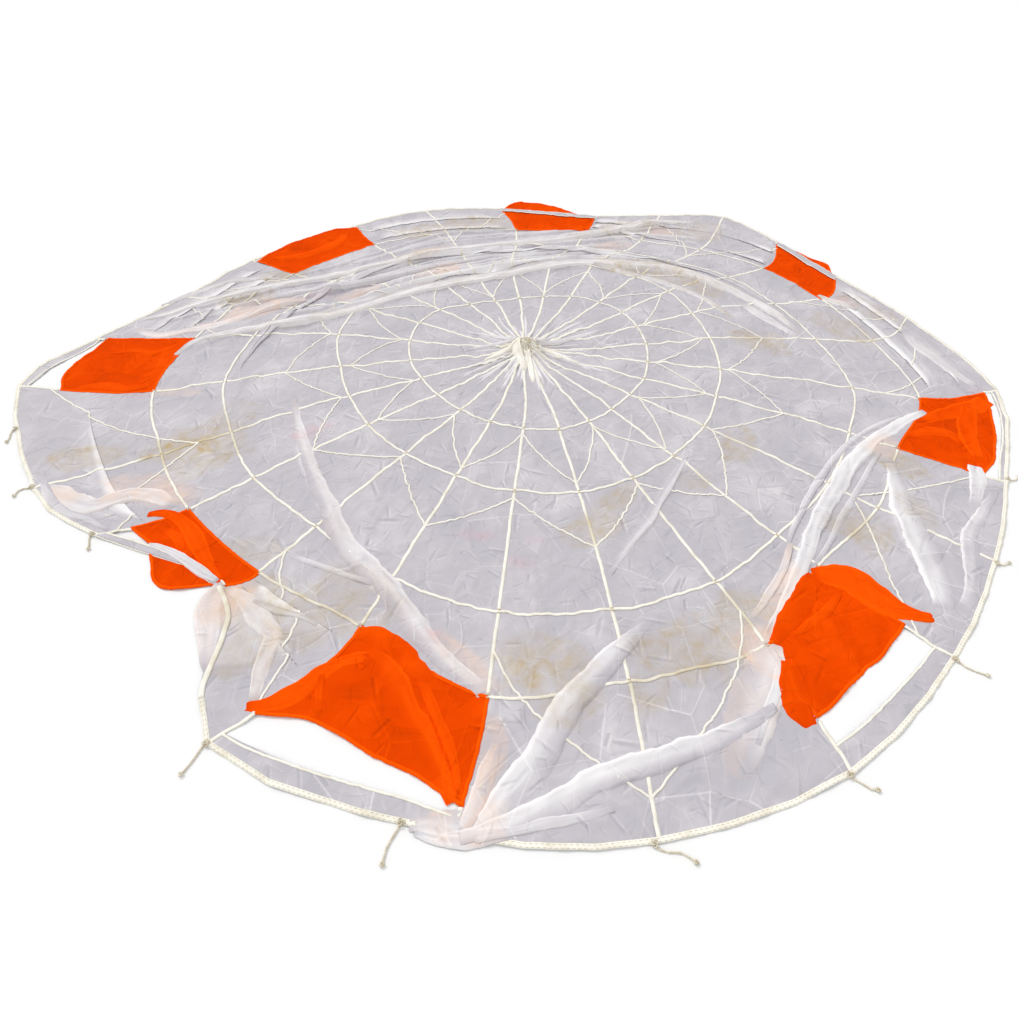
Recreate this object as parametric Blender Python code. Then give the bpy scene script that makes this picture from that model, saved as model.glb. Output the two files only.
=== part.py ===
"""A round parachute canopy laid out on a floor, for Blender 4.5.

Metres, +Z up. The apex lies on the origin, the floor is z = 0, and the canopy's front is -Y.
Twenty-four gores run from the apex to the skirt. Every gore is cut flat as a thin wedge and
then laid down: a point of the cloth is named by its gore (a number that grows by one from
each radial tape to the next) and its flat distance from the apex, and cloth_point says where
it lies. The far side is pulled in, and its spare cloth stands up in the long folds.
"""

import math
from collections import namedtuple

import bmesh
import bpy
from mathutils import Vector, noise
from mathutils.geometry import delaunay_2d_cdt, intersect_point_line

GORES = 24
STEP_DEG = 360 / GORES
FIRST_RADIAL_DEG = 190.4

# Flat distances from the apex along a radial tape.
VENT_IN = 0.056
VENT_OUT = 0.080
RINGS = (0.96, 1.56, 2.50, 2.97)
SKIRT = 4.00

CLOTH = 0.0016
CLEARANCE = 0.0003
RADIAL_TAPE = 0.014
RING_TAPE = 0.016
RING_TAPE_THICK = 0.0012
RING_LIFT = 0.0005
SKIRT_TAPE = 0.026
# The cloth stops this far short of the skirt tape, which turns a sharp corner at each radial.
SKIRT_GAP = 0.001

# Spacing of the mesh: stations along a seam, points inside a gore, stations on the skirt.
SEAM_SPACING = 0.46
FREE_SPACING = 0.34
SKIRT_STATIONS = (0.0, 0.33, 0.67)
RING_STATIONS = (0.0, 0.5, 1.0)
UNEVEN = 0.011
WELD = 0.00002

# How each radial tape lies: distance from the apex of its ring crossings and of its skirt
# end (m), and how far it swings from its even place at ring 2, ring 4 and the skirt (deg).
Radial = namedtuple("Radial", "name ring_1 ring_2 ring_3 ring_4 skirt swing_2 swing_4 swing_skirt")
RADIALS = tuple(
    Radial(*row)
    for row in (
        ("a", 1.03, 1.59, 2.47, 2.98, 4.00, 1.0, 3.5, 0.0),
        ("b", 0.99, 1.57, 2.45, 2.92, 3.71, 0.0, 3.0, 3.0),
        ("c", 0.97, 1.57, 2.45, 2.89, 3.42, -1.0, 0.0, -2.0),
        ("d", 0.97, 1.56, 2.40, 2.84, 3.06, -0.5, 0.0, -2.0),
        ("e", 0.97, 1.57, 2.48, 2.83, 3.70, 0.0, 0.0, -5.6),
        ("f", 0.97, 1.60, 2.54, 3.05, 3.72, 0.0, 0.3, -0.8),
        ("g", 0.98, 1.61, 2.53, 2.97, 3.74, 0.5, -0.5, -1.6),
        ("h", 0.95, 1.58, 2.51, 2.97, 3.70, 0.0, 0.5, -0.7),
        ("i", 0.92, 1.55, 2.44, 2.74, 3.58, -0.4, -1.0, 0.3),
        ("j", 0.91, 1.53, 2.46, 2.80, 3.53, 0.6, -0.5, -0.5),
        ("k", 0.93, 1.51, 2.50, 2.84, 3.56, 0.5, -1.3, -2.3),
        ("l", 0.94, 1.53, 2.57, 3.08, 3.76, -0.5, -3.0, 0.6),
        ("m", 0.97, 1.55, 2.48, 2.98, 3.52, 0.5, -3.2, 2.6),
        ("n", 1.00, 1.58, 2.42, 2.90, 3.36, 1.0, -4.3, 1.5),
        ("o", 1.03, 1.62, 2.35, 2.80, 3.40, 0.0, -5.6, 0.0),
        ("p", 1.02, 1.58, 2.17, 2.58, 3.48, -2.0, -6.8, -2.9),
        ("q", 0.96, 1.50, 2.00, 2.36, 3.06, -1.0, -8.5, -7.6),
        ("r", 0.88, 1.42, 1.90, 2.30, 2.73, -1.0, -9.5, -9.5),
        ("s", 0.84, 1.38, 1.82, 2.19, 2.76, -1.0, -5.0, -2.0),
        ("t", 0.85, 1.39, 1.87, 2.27, 2.87, 0.0, -1.0, 0.0),
        ("u", 0.92, 1.45, 1.98, 2.40, 2.90, 0.0, 3.0, 1.5),
        ("v", 1.03, 1.55, 2.10, 2.55, 3.08, 0.0, 9.0, 9.0),
        ("w", 1.07, 1.61, 2.22, 2.68, 3.23, 0.0, 8.0, 8.6),
        ("x", 1.06, 1.64, 2.36, 2.84, 3.65, 0.0, 5.0, 6.0),
    )
)

# The coloured gores. Each has a panel below ring 4, an open slot, and a narrow band above
# the skirt. Both tables run across the gore from its first radial to its second: the panel's
# edge as its share of the way from ring 4 to the skirt, and the band's width with its skirt
# tape (m). `on_top` says which of the two lies over the other where they cross.
SLOT_STATIONS = (0.0, 0.25, 0.5, 0.75, 1.0)
Slot = namedtuple("Slot", "gore on_top panel_edge band_width")
SLOTS = (
    Slot(2, "band", (0.60, 0.68, 1.15, 1.80, 0.80), (0.070, 0.095, 0.065, 0.050, 0.048)),
    Slot(4, "", (0.74, 0.60, 0.63, 0.67, 0.80), (0.085, 0.120, 0.130, 0.120, 0.085)),
    Slot(7, "", (0.59, 0.58, 0.61, 0.66, 0.66), (0.150, 0.147, 0.143, 0.127, 0.120)),
    Slot(10, "", (0.78, 0.87, 0.84, 0.81, 0.80), (0.060, 0.060, 0.060, 0.065, 0.070)),
    Slot(13, "band", (0.86, 1.18, 1.04, 0.95, 0.88), (0.100, 0.115, 0.120, 0.115, 0.100)),
    Slot(17, "band", (0.80, 1.04, 1.34, 1.36, 0.86), (0.090, 0.095, 0.100, 0.095, 0.090)),
    Slot(20, "panel", (0.84, 1.04, 1.04, 0.98, 0.84), (0.060, 0.060, 0.060, 0.060, 0.060)),
    Slot(23, "", (0.86, 0.80, 0.77, 0.73, 0.67), (0.060, 0.115, 0.130, 0.120, 0.085)),
)
SLOT_OF = {slot.gore: slot for slot in SLOTS}
LIFT = 0.0045
# How far the crossing cloth is raised, inward and outward of the skirt.
ZONE_IN = 0.20
ZONE_OUT = 0.30

# The long folds: half of the width at the foot, the height, and the places (x, y) of the
# crest that its line bends at.
Fold = namedtuple("Fold", "name half_width height crest")
FOLDS = (
    Fold("far_roll", 0.080, 0.048, ((-2.83, 0.02), (-1.95, 0.42), (-1.24, 0.85), (-0.50, 1.29),
                                    (0.38, 1.50), (1.08, 1.53), (1.86, 1.16), (2.42, 0.55))),
    Fold("back_roll", 0.065, 0.036, ((-3.10, 0.20), (-2.15, 0.76), (-1.27, 1.47), (-0.13, 1.88),
                                     (0.54, 2.16), (1.52, 2.56))),
    Fold("between_rolls", 0.045, 0.024, ((-2.45, 0.44), (-1.40, 1.12), (-0.40, 1.64), (0.85, 1.83),
                                         (1.55, 1.70))),
    Fold("left_fold", 0.055, 0.030, ((-1.72, -1.08), (-1.44, -1.66), (-1.00, -2.30), (-0.63, -2.64),
                                     (-0.32, -3.01))),
    Fold("front_fold", 0.065, 0.030, ((-0.18, -3.52), (0.01, -3.31), (0.30, -2.92), (0.70, -2.54))),
    Fold("middle_fold", 0.045, 0.020, ((0.46, -2.24), (0.79, -1.70), (1.22, -0.94))),
    Fold("right_fold", 0.060, 0.036, ((2.56, -0.97), (2.09, -1.40), (1.75, -1.90), (1.40, -2.46))),
    Fold("front_flap", 0.060, 0.024, ((0.10, -3.52), (0.42, -3.40), (1.02, -3.17))),
    Fold("right_flap", 0.055, 0.026, ((1.29, -2.80), (1.22, -3.02), (1.06, -3.34))),
    Fold("edge_fold", 0.045, 0.024, ((2.50, -1.24), (2.37, -1.81), (2.44, -2.33))),
    Fold("left_flap", 0.065, 0.024, ((-3.12, -1.62), (-2.79, -1.76), (-2.30, -1.78))),
    Fold("low_left_fold", 0.055, 0.024, ((-1.62, -2.56), (-1.34, -2.80), (-1.36, -3.06))),
)
FOLD_TAPER = 0.35

# The cut ends of the suspension lines, tied to the skirt: the place along the skirt (it
# counts radials) and the places that each lies through after its knot, as metres (outward
# from the skirt, sideways towards the next radial).
LINE_RADIUS = 0.003
LINE_START = 0.0009
LINE_STRAIGHT = 0.014
NUDGE = 0.02
Stub = namedtuple("Stub", "name station route")
STUBS = (
    Stub("line_b_inner", 0.46, ((0.030, 0.030), (0.040, 0.075), (0.060, 0.110))),
    Stub("line_b", 0.98, ((0.040, -0.015), (0.070, -0.012), (0.100, 0.020))),
    Stub("line_c", 1.96, ((0.030, 0.012), (0.055, 0.040), (0.085, 0.070))),
    Stub("line_e", 4.00, ((0.070, 0.026), (0.144, 0.050))),
    Stub("line_f", 4.81, ((0.050, -0.012), (0.100, -0.026), (0.165, -0.024))),
    Stub("line_g", 5.98, ((0.035, 0.050), (0.045, 0.110), (0.085, 0.160))),
    Stub("line_h", 6.99, ((0.045, 0.020), (0.084, 0.040), (0.100, 0.066))),
    Stub("line_i", 7.99, ((0.045, -0.004), (0.095, 0.010), (0.150, 0.034))),
    Stub("line_j", 8.99, ((0.034, 0.010), (0.056, 0.050))),
    Stub("line_k", 10.04, ((0.040, 0.015), (0.064, 0.070))),
)

# The gathered apex: its foot fills the vent, and its folds stand up as a fluted cone.
# Rows of (radius, height above the floor).
GATHER_PROFILE = ((0.045, 0.0), (0.045, 0.0022), (0.118, 0.0026), (0.112, 0.012), (0.080, 0.034),
                  (0.056, 0.064), (0.050, 0.094), (0.060, 0.122), (0.040, 0.144))
GATHER_FLUTES = 12
GATHER_FLUTE_DEPTH = 0.16
GATHER_LEAN = (0.10, -0.18)

WHITE = (0.76, 0.75, 0.80, 1)
CREAM = (0.86, 0.83, 0.74, 1)
ORANGE = (0.95, 0.12, 0.01, 1)
BEIGE = (0.60, 0.55, 0.43, 1)


def clear_scene():
    for obj in list(bpy.data.objects):
        bpy.data.objects.remove(obj, do_unlink=True)


def material(name, colour, roughness):
    """A non-metallic finish. Pieces that share it get the same one."""
    found = bpy.data.materials.get(name)
    if found:
        return found
    made = bpy.data.materials.new(name)
    made.use_nodes = True
    shader = made.node_tree.nodes["Principled BSDF"]
    shader.inputs["Base Color"].default_value = colour
    shader.inputs["Roughness"].default_value = roughness
    made.diffuse_color = colour
    return made


def through(stations, values, where):
    """The value at `where` on a smooth line through (station, value) pairs."""
    last = len(stations) - 2
    index = min(last, max(i for i in range(last + 1) if i == 0 or stations[i] <= where))
    slopes = [
        (values[i + 1] - values[i]) / (stations[i + 1] - stations[i]) for i in range(last + 1)
    ]

    def tangent(i):
        if i in (0, last + 1):
            return slopes[min(i, last)]
        before, after = slopes[i - 1], slopes[i]
        return 0.0 if before * after <= 0 else 2 * before * after / (before + after)

    width = stations[index + 1] - stations[index]
    t = (where - stations[index]) / width
    if t > 1:
        return values[-1] + slopes[last] * (where - stations[-1])
    return (
        (2 * t**3 - 3 * t**2 + 1) * values[index]
        + (t**3 - 2 * t**2 + t) * width * tangent(index)
        + (3 * t**2 - 2 * t**3) * values[index + 1]
        + (t**3 - t**2) * width * tangent(index + 1)
    )


def between(before, start, end, after, t):
    """The point a share t of the way from start to end, on a smooth line through four points."""
    return 0.5 * (
        2 * start
        + (end - before) * t
        + (2 * before - 5 * start + 4 * end - after) * t**2
        + (3 * start - before - 3 * end + after) * t**3
    )


def radial_point(number, flat):
    """Where the middle of a radial tape lies, `flat` metres of cloth from the apex."""
    lie = RADIALS[number % GORES]
    distance = through((0.0, *RINGS, SKIRT),
                       (0.0, lie.ring_1, lie.ring_2, lie.ring_3, lie.ring_4, lie.skirt), flat)
    swing = through((0.0, RINGS[1], RINGS[3], SKIRT),
                    (0.0, lie.swing_2, lie.swing_4, lie.swing_skirt), min(flat, SKIRT))
    angle = math.radians(FIRST_RADIAL_DEG + STEP_DEG * number + swing)
    return Vector((math.cos(angle), math.sin(angle))) * distance


def cloth_point(across, flat):
    """Where a point of the cloth lies: `across` counts radials, `flat` is in metres."""
    number = math.floor(across)
    t = across - number
    return between(*(radial_point(number + i, flat) for i in (-1, 0, 1, 2)), t)


def beside_radial(number, flat, offset):
    """A point `offset` to the side of a radial tape's middle, towards the next gore if positive."""
    along = radial_point(number, flat + 0.01) - radial_point(number, flat - 0.01)
    return radial_point(number, flat) + offset * Vector((-along.y, along.x)).normalized()


def skirt_point(across, inward):
    """A point of the skirt's line, moved `inward` metres towards the apex."""
    edge = cloth_point(across, SKIRT)
    return edge - inward * edge.normalized()


def rim_point(across):
    """A point of the skirt tape's outer edge, which runs straight between its stations."""
    gore = math.floor(across)
    t = across - gore
    low = max(station for station in SKIRT_STATIONS if station <= t)
    high = min(station for station in (*SKIRT_STATIONS, 1.0) if station > t)
    return skirt_point(gore + low, 0.0).lerp(skirt_point(gore + high, 0.0), (t - low) / (high - low))


def crest_length(fold):
    return sum((Vector(b) - Vector(a)).length for a, b in zip(fold.crest, fold.crest[1:]))


def fold_height(fold, place):
    """The height of one fold over a place: a ridge that tapers out at both ends."""
    walked, best = 0.0, 0.0
    total = crest_length(fold)
    for a, b in zip(fold.crest, fold.crest[1:]):
        a, b = Vector(a), Vector(b)
        length = (b - a).length
        nearest, share = intersect_point_line(place, a, b)
        share = min(1.0, max(0.0, share))
        away = (place - a.lerp(b, share)).length
        along = walked + share * length
        ends = min(1.0, along / FOLD_TAPER, (total - along) / FOLD_TAPER)
        best = max(best, (1 - away / fold.half_width) * ends)
        walked += length
    return best * fold.height


def lie_height(place):
    """How far the cloth's underside stands off the floor."""
    return max(fold_height(fold, place) for fold in FOLDS)


def fold_lines():
    """The feet and the crest of every fold, as rows of points with mesh edges between them."""
    lines = []
    for fold in FOLDS:
        crest = [Vector(place) for place in fold.crest]
        sides = []
        for index, place in enumerate(crest):
            ahead = crest[min(index + 1, len(crest) - 1)] - crest[max(index - 1, 0)]
            sides.append(Vector((-ahead.y, ahead.x)).normalized() * fold.half_width)
        inner = range(1, len(crest) - 1)
        lines.append(crest)
        for sign in (-1, 1):
            lines.append([crest[0], *(crest[i] + sign * sides[i] for i in inner), crest[-1]])
    return lines


def inside(place, outline):
    """Whether a place is within a closed outline."""
    odd = False
    for a, b in zip(outline, outline[1:] + outline[:1]):
        if (a.y > place.y) != (b.y > place.y):
            if place.x < a.x + (place.y - a.y) * (b.x - a.x) / (b.y - a.y):
                odd = not odd
    return odd


def near(line, box):
    """Whether a row of points comes into a box (low x, low y, high x, high y)."""
    xs, ys = [p.x for p in line], [p.y for p in line]
    return min(xs) < box[2] and max(xs) > box[0] and min(ys) < box[3] and max(ys) > box[1]


def sheet(name, outline, holes, lines, free, thickness, bottom):
    """A sheet solid: an outline in plan less its holes, meshed along the given lines.

    `free` holds extra points as (place, rise). `bottom` gives the underside's height at a place.
    """
    loops = [outline, *holes]
    box = (min(p.x for p in outline), min(p.y for p in outline),
           max(p.x for p in outline), max(p.y for p in outline))
    places, edges, rises = [], [], {}
    for loop in loops:
        first = len(places)
        places += loop
        edges += [(first + i, first + (i + 1) % len(loop)) for i in range(len(loop))]
    for line in lines:
        for a, b in zip(line, line[1:]):
            if near((a, b), box):
                edges.append((len(places), len(places) + 1))
                places += [a, b]
    for place, rise in free:
        rises[len(places)] = rise
        places.append(place)

    found, _, faces, sources, _, _ = delaunay_2d_cdt(places, edges, [], 0, WELD)
    build = bmesh.new()
    corners = {}

    def corner(index):
        if index not in corners:
            place = found[index]
            rise = max((rises.get(i, 0.0) for i in sources[index]), default=0.0)
            corners[index] = build.verts.new((place.x, place.y, bottom(place) + rise))
        return corners[index]

    for face in faces:
        middle = sum((found[i] for i in face), Vector((0, 0))) / len(face)
        if inside(middle, outline) and not any(inside(middle, hole) for hole in holes):
            build.faces.new([corner(i) for i in face])
    grown = bmesh.ops.extrude_face_region(build, geom=build.faces[:], use_keep_orig=True)
    raised = [item for item in grown["geom"] if isinstance(item, bmesh.types.BMVert)]
    bmesh.ops.translate(build, vec=(0, 0, thickness), verts=raised)
    bmesh.ops.recalc_face_normals(build, faces=build.faces[:])
    mesh = bpy.data.meshes.new(name)
    build.to_mesh(mesh)
    build.free()
    return mesh


def place_object(name, mesh, finish, home):
    obj = bpy.data.objects.new(name, mesh)
    obj.data.materials.append(finish)
    home.objects.link(obj)
    return obj


def panel_flats(slot):
    """Flat distances of a panel's outer edge, as (share across the gore, distance)."""
    reach = SKIRT - RINGS[3]
    return [(t, RINGS[3] + share * reach) for t, share in zip(SLOT_STATIONS, slot.panel_edge)]


def from_skirt(across, width):
    """The flat distance of a place that lies `width` metres in from the skirt."""
    laid = cloth_point(across, SKIRT).length - cloth_point(across, RINGS[3]).length
    return SKIRT - width * (SKIRT - RINGS[3]) / laid


def band_flats(slot):
    """Flat distances of a skirt band's inner edge, as (share across the gore, distance)."""
    return [
        (t, from_skirt(slot.gore + t, width)) for t, width in zip(SLOT_STATIONS, slot.band_width)
    ]


def seam_stations(gore, second):
    """Flat distances that the mesh keeps along the first or the second seam of a gore."""
    marks = [VENT_OUT, *(ring + side * RING_TAPE / 2 for ring in RINGS for side in (-1, 1))]
    slot = SLOT_OF.get(gore)
    if slot:
        end = -1 if second else 0
        marks += [RINGS[3], panel_flats(slot)[end][1], band_flats(slot)[end][1]]
    last = from_skirt(gore + (1 if second else 0), SKIRT_TAPE)
    marks = [*sorted(mark for mark in marks if mark < last - SKIRT_TAPE), last]
    stations = []
    for a, b in zip(marks, marks[1:]):
        steps = max(1, round((b - a) / SEAM_SPACING))
        stations += [a + (b - a) * i / steps for i in range(steps)]
    return stations


def seam(gore, second, low, high, offset):
    """Points along one seam of a gore, between two flat distances but without them."""
    number, side = (gore + 1, -offset) if second else (gore, offset)
    stations = seam_stations(gore, second)
    return [beside_radial(number, flat, side) for flat in stations if low + WELD < flat < high - WELD]


def across_gore(gore, flats, side_offset):
    """Points from one seam of a gore to the other, at flat distances given for each station."""
    points = []
    for t, flat in flats:
        if t == 0:
            points.append(beside_radial(gore, flat, side_offset))
        elif t == 1:
            points.append(beside_radial(gore + 1, flat, -side_offset))
        else:
            points.append(cloth_point(gore + t, flat))
    return points


def skirt_side(gore, inward, side_offset):
    """Points along a gore's skirt, from its first seam to its second."""
    first = beside_radial(gore, from_skirt(gore, inward), side_offset)
    second = beside_radial(gore + 1, from_skirt(gore + 1, inward), -side_offset)
    return [first, *(skirt_point(gore + t, inward) for t in SKIRT_STATIONS[1:]), second]


def wedge(gore, inner, inner_flats, outer, outer_flats, offset):
    """The outline of a piece between two radial tapes, from its inner to its outer edge.

    The edges are rows of points from the first seam to the second, and each one's flats are
    its flat distances at the two seams.
    """
    first = seam(gore, False, inner_flats[0], outer_flats[0], offset)
    second = seam(gore, True, inner_flats[1], outer_flats[1], offset)
    return [*inner, *second, *reversed(outer), *reversed(first)]


def ring_edge(gore, side_offset, ring, sign):
    """One edge of a ring tape, over one gore."""
    return across_gore(gore, [(t, ring + sign * RING_TAPE / 2) for t in RING_STATIONS], side_offset)


def ring_lines(gore, side_offset, rings):
    """The edges of the ring tapes over one gore, as lines that its mesh follows."""
    return [ring_edge(gore, side_offset, ring, sign) for ring in rings for sign in (-1, 1)]


def free_points(outline, keep_off):
    """Points inside an outline, a little raised and lowered, clear of its edge and of the lines."""
    low_x, high_x = min(p.x for p in outline), max(p.x for p in outline)
    low_y, high_y = min(p.y for p in outline), max(p.y for p in outline)
    segments = list(zip(outline, outline[1:] + outline[:1]))
    segments += [pair for line in keep_off for pair in zip(line, line[1:])]
    points = []
    for row in range(math.floor(low_y / FREE_SPACING), math.ceil(high_y / FREE_SPACING) + 1):
        for column in range(math.floor(low_x / FREE_SPACING), math.ceil(high_x / FREE_SPACING) + 1):
            place = Vector(((column + 0.5 * (row % 2)) * FREE_SPACING, row * FREE_SPACING))
            if not inside(place, outline):
                continue
            if min(distance_to(place, a, b) for a, b in segments) < 0.3 * FREE_SPACING:
                continue
            rise = UNEVEN * (0.5 + 0.5 * noise.noise(Vector((place.x * 2.3, place.y * 2.3, 0.4))))
            points.append((place, rise))
    return points


def distance_to(place, a, b):
    """The distance from a place to a straight stretch."""
    _, share = intersect_point_line(place, a, b)
    return (place - a.lerp(b, min(1.0, max(0.0, share)))).length


def make_gores(home, finish, folds):
    """The white gores. One with a slot ends at ring 4."""
    side = RADIAL_TAPE / 2 + CLEARANCE
    low = VENT_OUT + CLEARANCE
    inner = [(0.0, low), (1.0, low)]
    for gore in range(GORES):
        if gore in SLOT_OF:
            high = RINGS[3] - CLEARANCE / 2
            outer = across_gore(gore, [(t, high) for t in RING_STATIONS], side)
            lines = ring_lines(gore, side, RINGS[:3]) + [ring_edge(gore, side, RINGS[3], -1)]
        else:
            high = SKIRT
            outer = skirt_side(gore, SKIRT_TAPE + SKIRT_GAP, side)
            lines = ring_lines(gore, side, RINGS)
        outline = wedge(gore, across_gore(gore, inner, side), (low, low), outer, (high, high), side)
        lines += folds
        free = free_points(outline, lines)
        name = f"gore_{gore:02d}"
        place_object(name, sheet(name, outline, [], lines, free, CLOTH, lie_height), finish, home)


def make_panels(home, finish, folds):
    """The coloured panels between ring 4 and the slots."""
    side = RADIAL_TAPE / 2 + CLEARANCE
    low = RINGS[3] + CLEARANCE / 2
    for slot in SLOTS:
        flats = panel_flats(slot)
        inner = across_gore(slot.gore, [(t, low) for t in RING_STATIONS], side)
        outer = across_gore(slot.gore, flats, side)
        outline = wedge(slot.gore, inner, (low, low), outer, (flats[0][1], flats[-1][1]), side)
        lines = [ring_edge(slot.gore, side, RINGS[3], 1), *folds]
        free = [] if slot.on_top else free_points(outline, lines)
        height = over_the_skirt(slot) if slot.on_top == "panel" else lie_height
        name = f"panel_{slot.gore:02d}"
        place_object(name, sheet(name, outline, [], lines, free, CLOTH, height), finish, home)


def make_bands(home, finish, folds):
    """The narrow bands between the slots and the skirt tape."""
    side = RADIAL_TAPE / 2 + CLEARANCE
    for slot in SLOTS:
        flats = band_flats(slot)
        inner = across_gore(slot.gore, flats, side)
        outer = skirt_side(slot.gore, SKIRT_TAPE + SKIRT_GAP, side)
        outline = wedge(slot.gore, inner, (flats[0][1], flats[-1][1]), outer, (SKIRT, SKIRT), side)
        height = over_the_skirt(slot) if slot.on_top == "band" else lie_height
        name = f"band_{slot.gore:02d}"
        place_object(name, sheet(name, outline, [], folds, [], CLOTH, height), finish, home)


def skirt_zone(gore):
    """The ground under a gore's skirt band and tape, and the ends of its two radial tapes."""
    low, middle, high = -0.2, 0.5, 1.2
    inner = [skirt_point(gore + t, ZONE_IN) for t in (low, middle, high)]
    outer = [skirt_point(gore + t, -ZONE_OUT) for t in (high, middle, low)]
    return inner + outer


def over_the_skirt(*slots):
    """The height at which cloth lies, where it crosses over other cloth at these slots."""
    zones = [skirt_zone(slot.gore) for slot in slots]

    def height(place):
        return lie_height(place) + (LIFT if any(inside(place, zone) for zone in zones) else 0.0)

    return height


def make_tape_net(home, finish, folds):
    """The radial tapes, joined by the vent's band at the apex and by the skirt tape."""
    side = RADIAL_TAPE / 2
    inner = [(0.0, VENT_OUT), (1.0, VENT_OUT)]
    rim, vent, holes = [], [], []
    for gore in range(GORES):
        rim += [skirt_point(gore + t, 0.0) for t in SKIRT_STATIONS]
        vent.append(cloth_point(gore, VENT_IN))
        outer = skirt_side(gore, SKIRT_TAPE, side)
        opening = across_gore(gore, inner, side)
        holes.append(wedge(gore, opening, (VENT_OUT, VENT_OUT), outer, (SKIRT, SKIRT), side))
    holes.append(vent)
    height = over_the_skirt(*(slot for slot in SLOTS if slot.on_top == "band"))
    place_object("tape_net", sheet("tape_net", rim, holes, folds, [], CLOTH, height), finish, home)


def make_ring_tapes(home, finish, folds):
    """The tapes that run round the canopy on top of the gores."""
    side = RADIAL_TAPE / 2 + CLEARANCE
    for number, ring in enumerate(RINGS, 1):
        edges = {}
        for sign in (-1, 1):
            edges[sign] = [point for gore in range(GORES) for point in ring_edge(gore, side, ring, sign)]
        lines = folds + [[a, b] for a, b in zip(edges[-1], edges[1])]
        if ring == RINGS[3]:
            lines += [across_gore(gore, [(t, ring) for t in RING_STATIONS], side) for gore in SLOT_OF]
        mesh = sheet(f"ring_tape_{number}", edges[1], [edges[-1]], lines, [],
                     RING_TAPE_THICK, lambda place: lie_height(place) + CLOTH + RING_LIFT)
        place_object(f"ring_tape_{number}", mesh, finish, home)


def make_gather(home, finish):
    """The apex, drawn together: a fluted cone whose foot fills the vent."""
    sides = 3 * GATHER_FLUTES
    build = bmesh.new()
    rings = []
    for radius, height in GATHER_PROFILE:
        depth = GATHER_FLUTE_DEPTH if height > 0.01 else 0.0
        lean = Vector(GATHER_LEAN) * height
        ring = []
        for index in range(sides):
            angle = 2 * math.pi * index / sides
            reach = radius * (1 + depth * math.cos(GATHER_FLUTES * angle))
            place = lean + reach * Vector((math.cos(angle), math.sin(angle)))
            ring.append(build.verts.new((place.x, place.y, height)))
        rings.append(ring)
    for lower, upper in zip(rings, rings[1:]):
        for index in range(sides):
            after = (index + 1) % sides
            build.faces.new((lower[index], lower[after], upper[after], upper[index]))
    build.faces.new(rings[0][::-1])
    build.faces.new(rings[-1])
    mesh = bpy.data.meshes.new("apex_gather")
    build.to_mesh(mesh)
    build.free()
    mesh.shade_smooth()
    place_object("apex_gather", mesh, finish, home)


def smooth_route(places, spacing):
    """Points at an even spacing on a smooth line through the places."""
    walk = [Vector(place) for place in places]
    ends = [2 * walk[0] - walk[1], *walk, 2 * walk[-1] - walk[-2]]
    points = []
    for before, start, end, after in zip(ends, ends[1:], ends[2:], ends[3:]):
        steps = max(1, round((end - start).length / spacing))
        points += [between(before, start, end, after, index / steps) for index in range(steps)]
    return points + [walk[-1]]


def make_line_stubs(home, finish):
    """What is left of the suspension lines, lying on the floor outside the skirt."""
    for stub in STUBS:
        knot = rim_point(stub.station)
        aside = (rim_point(stub.station + NUDGE) - rim_point(stub.station - NUDGE)).normalized()
        out = Vector((aside.y, -aside.x))
        lies = ((LINE_START, 0.0), (LINE_STRAIGHT, 0.0), *stub.route)
        places = [knot + outward * out + sideways * aside for outward, sideways in lies]
        route = smooth_route(places, 6 * LINE_RADIUS)
        curve = bpy.data.curves.new(stub.name, "CURVE")
        curve.dimensions = "3D"
        curve.bevel_depth = LINE_RADIUS
        curve.bevel_resolution = 2
        curve.use_fill_caps = True
        spline = curve.splines.new("POLY")
        spline.points.add(len(route) - 1)
        for point, place in zip(spline.points, route):
            point.co = (place.x, place.y, LINE_RADIUS + CLEARANCE, 1)
        place_object(stub.name, curve, finish, home)


def main():
    clear_scene()
    home = bpy.data.collections.new("laid_out_canopy")
    bpy.context.scene.collection.children.link(home)
    folds = fold_lines()
    white = material("White nylon", WHITE, 0.55)
    cream = material("Cream tape", CREAM, 0.7)
    make_gores(home, white, folds)
    make_panels(home, material("Orange nylon", ORANGE, 0.55), folds)
    make_bands(home, white, folds)
    make_tape_net(home, cream, folds)
    make_ring_tapes(home, cream, folds)
    make_gather(home, cream)
    make_line_stubs(home, material("Beige line", BEIGE, 0.8))


main()
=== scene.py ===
"""How a round parachute canopy, laid out on a floor, looks.

Metres, +Z up. The apex lies over the origin and the canopy's front is -Y. A place on the
cloth has two numbers: `across` counts radial tapes round the canopy, and `flat` is the
length of cloth from the apex. Lay says where such a place lies on the floor, and Relief
how the cloth rises and falls there.
"""

import sys  # noqa: E702
import logging
import math
from collections.abc import Callable
from dataclasses import dataclass, field
from enum import Enum
from functools import partial
from typing import ClassVar

import bpy
import numpy as np
from mathutils import Matrix, Vector


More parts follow.
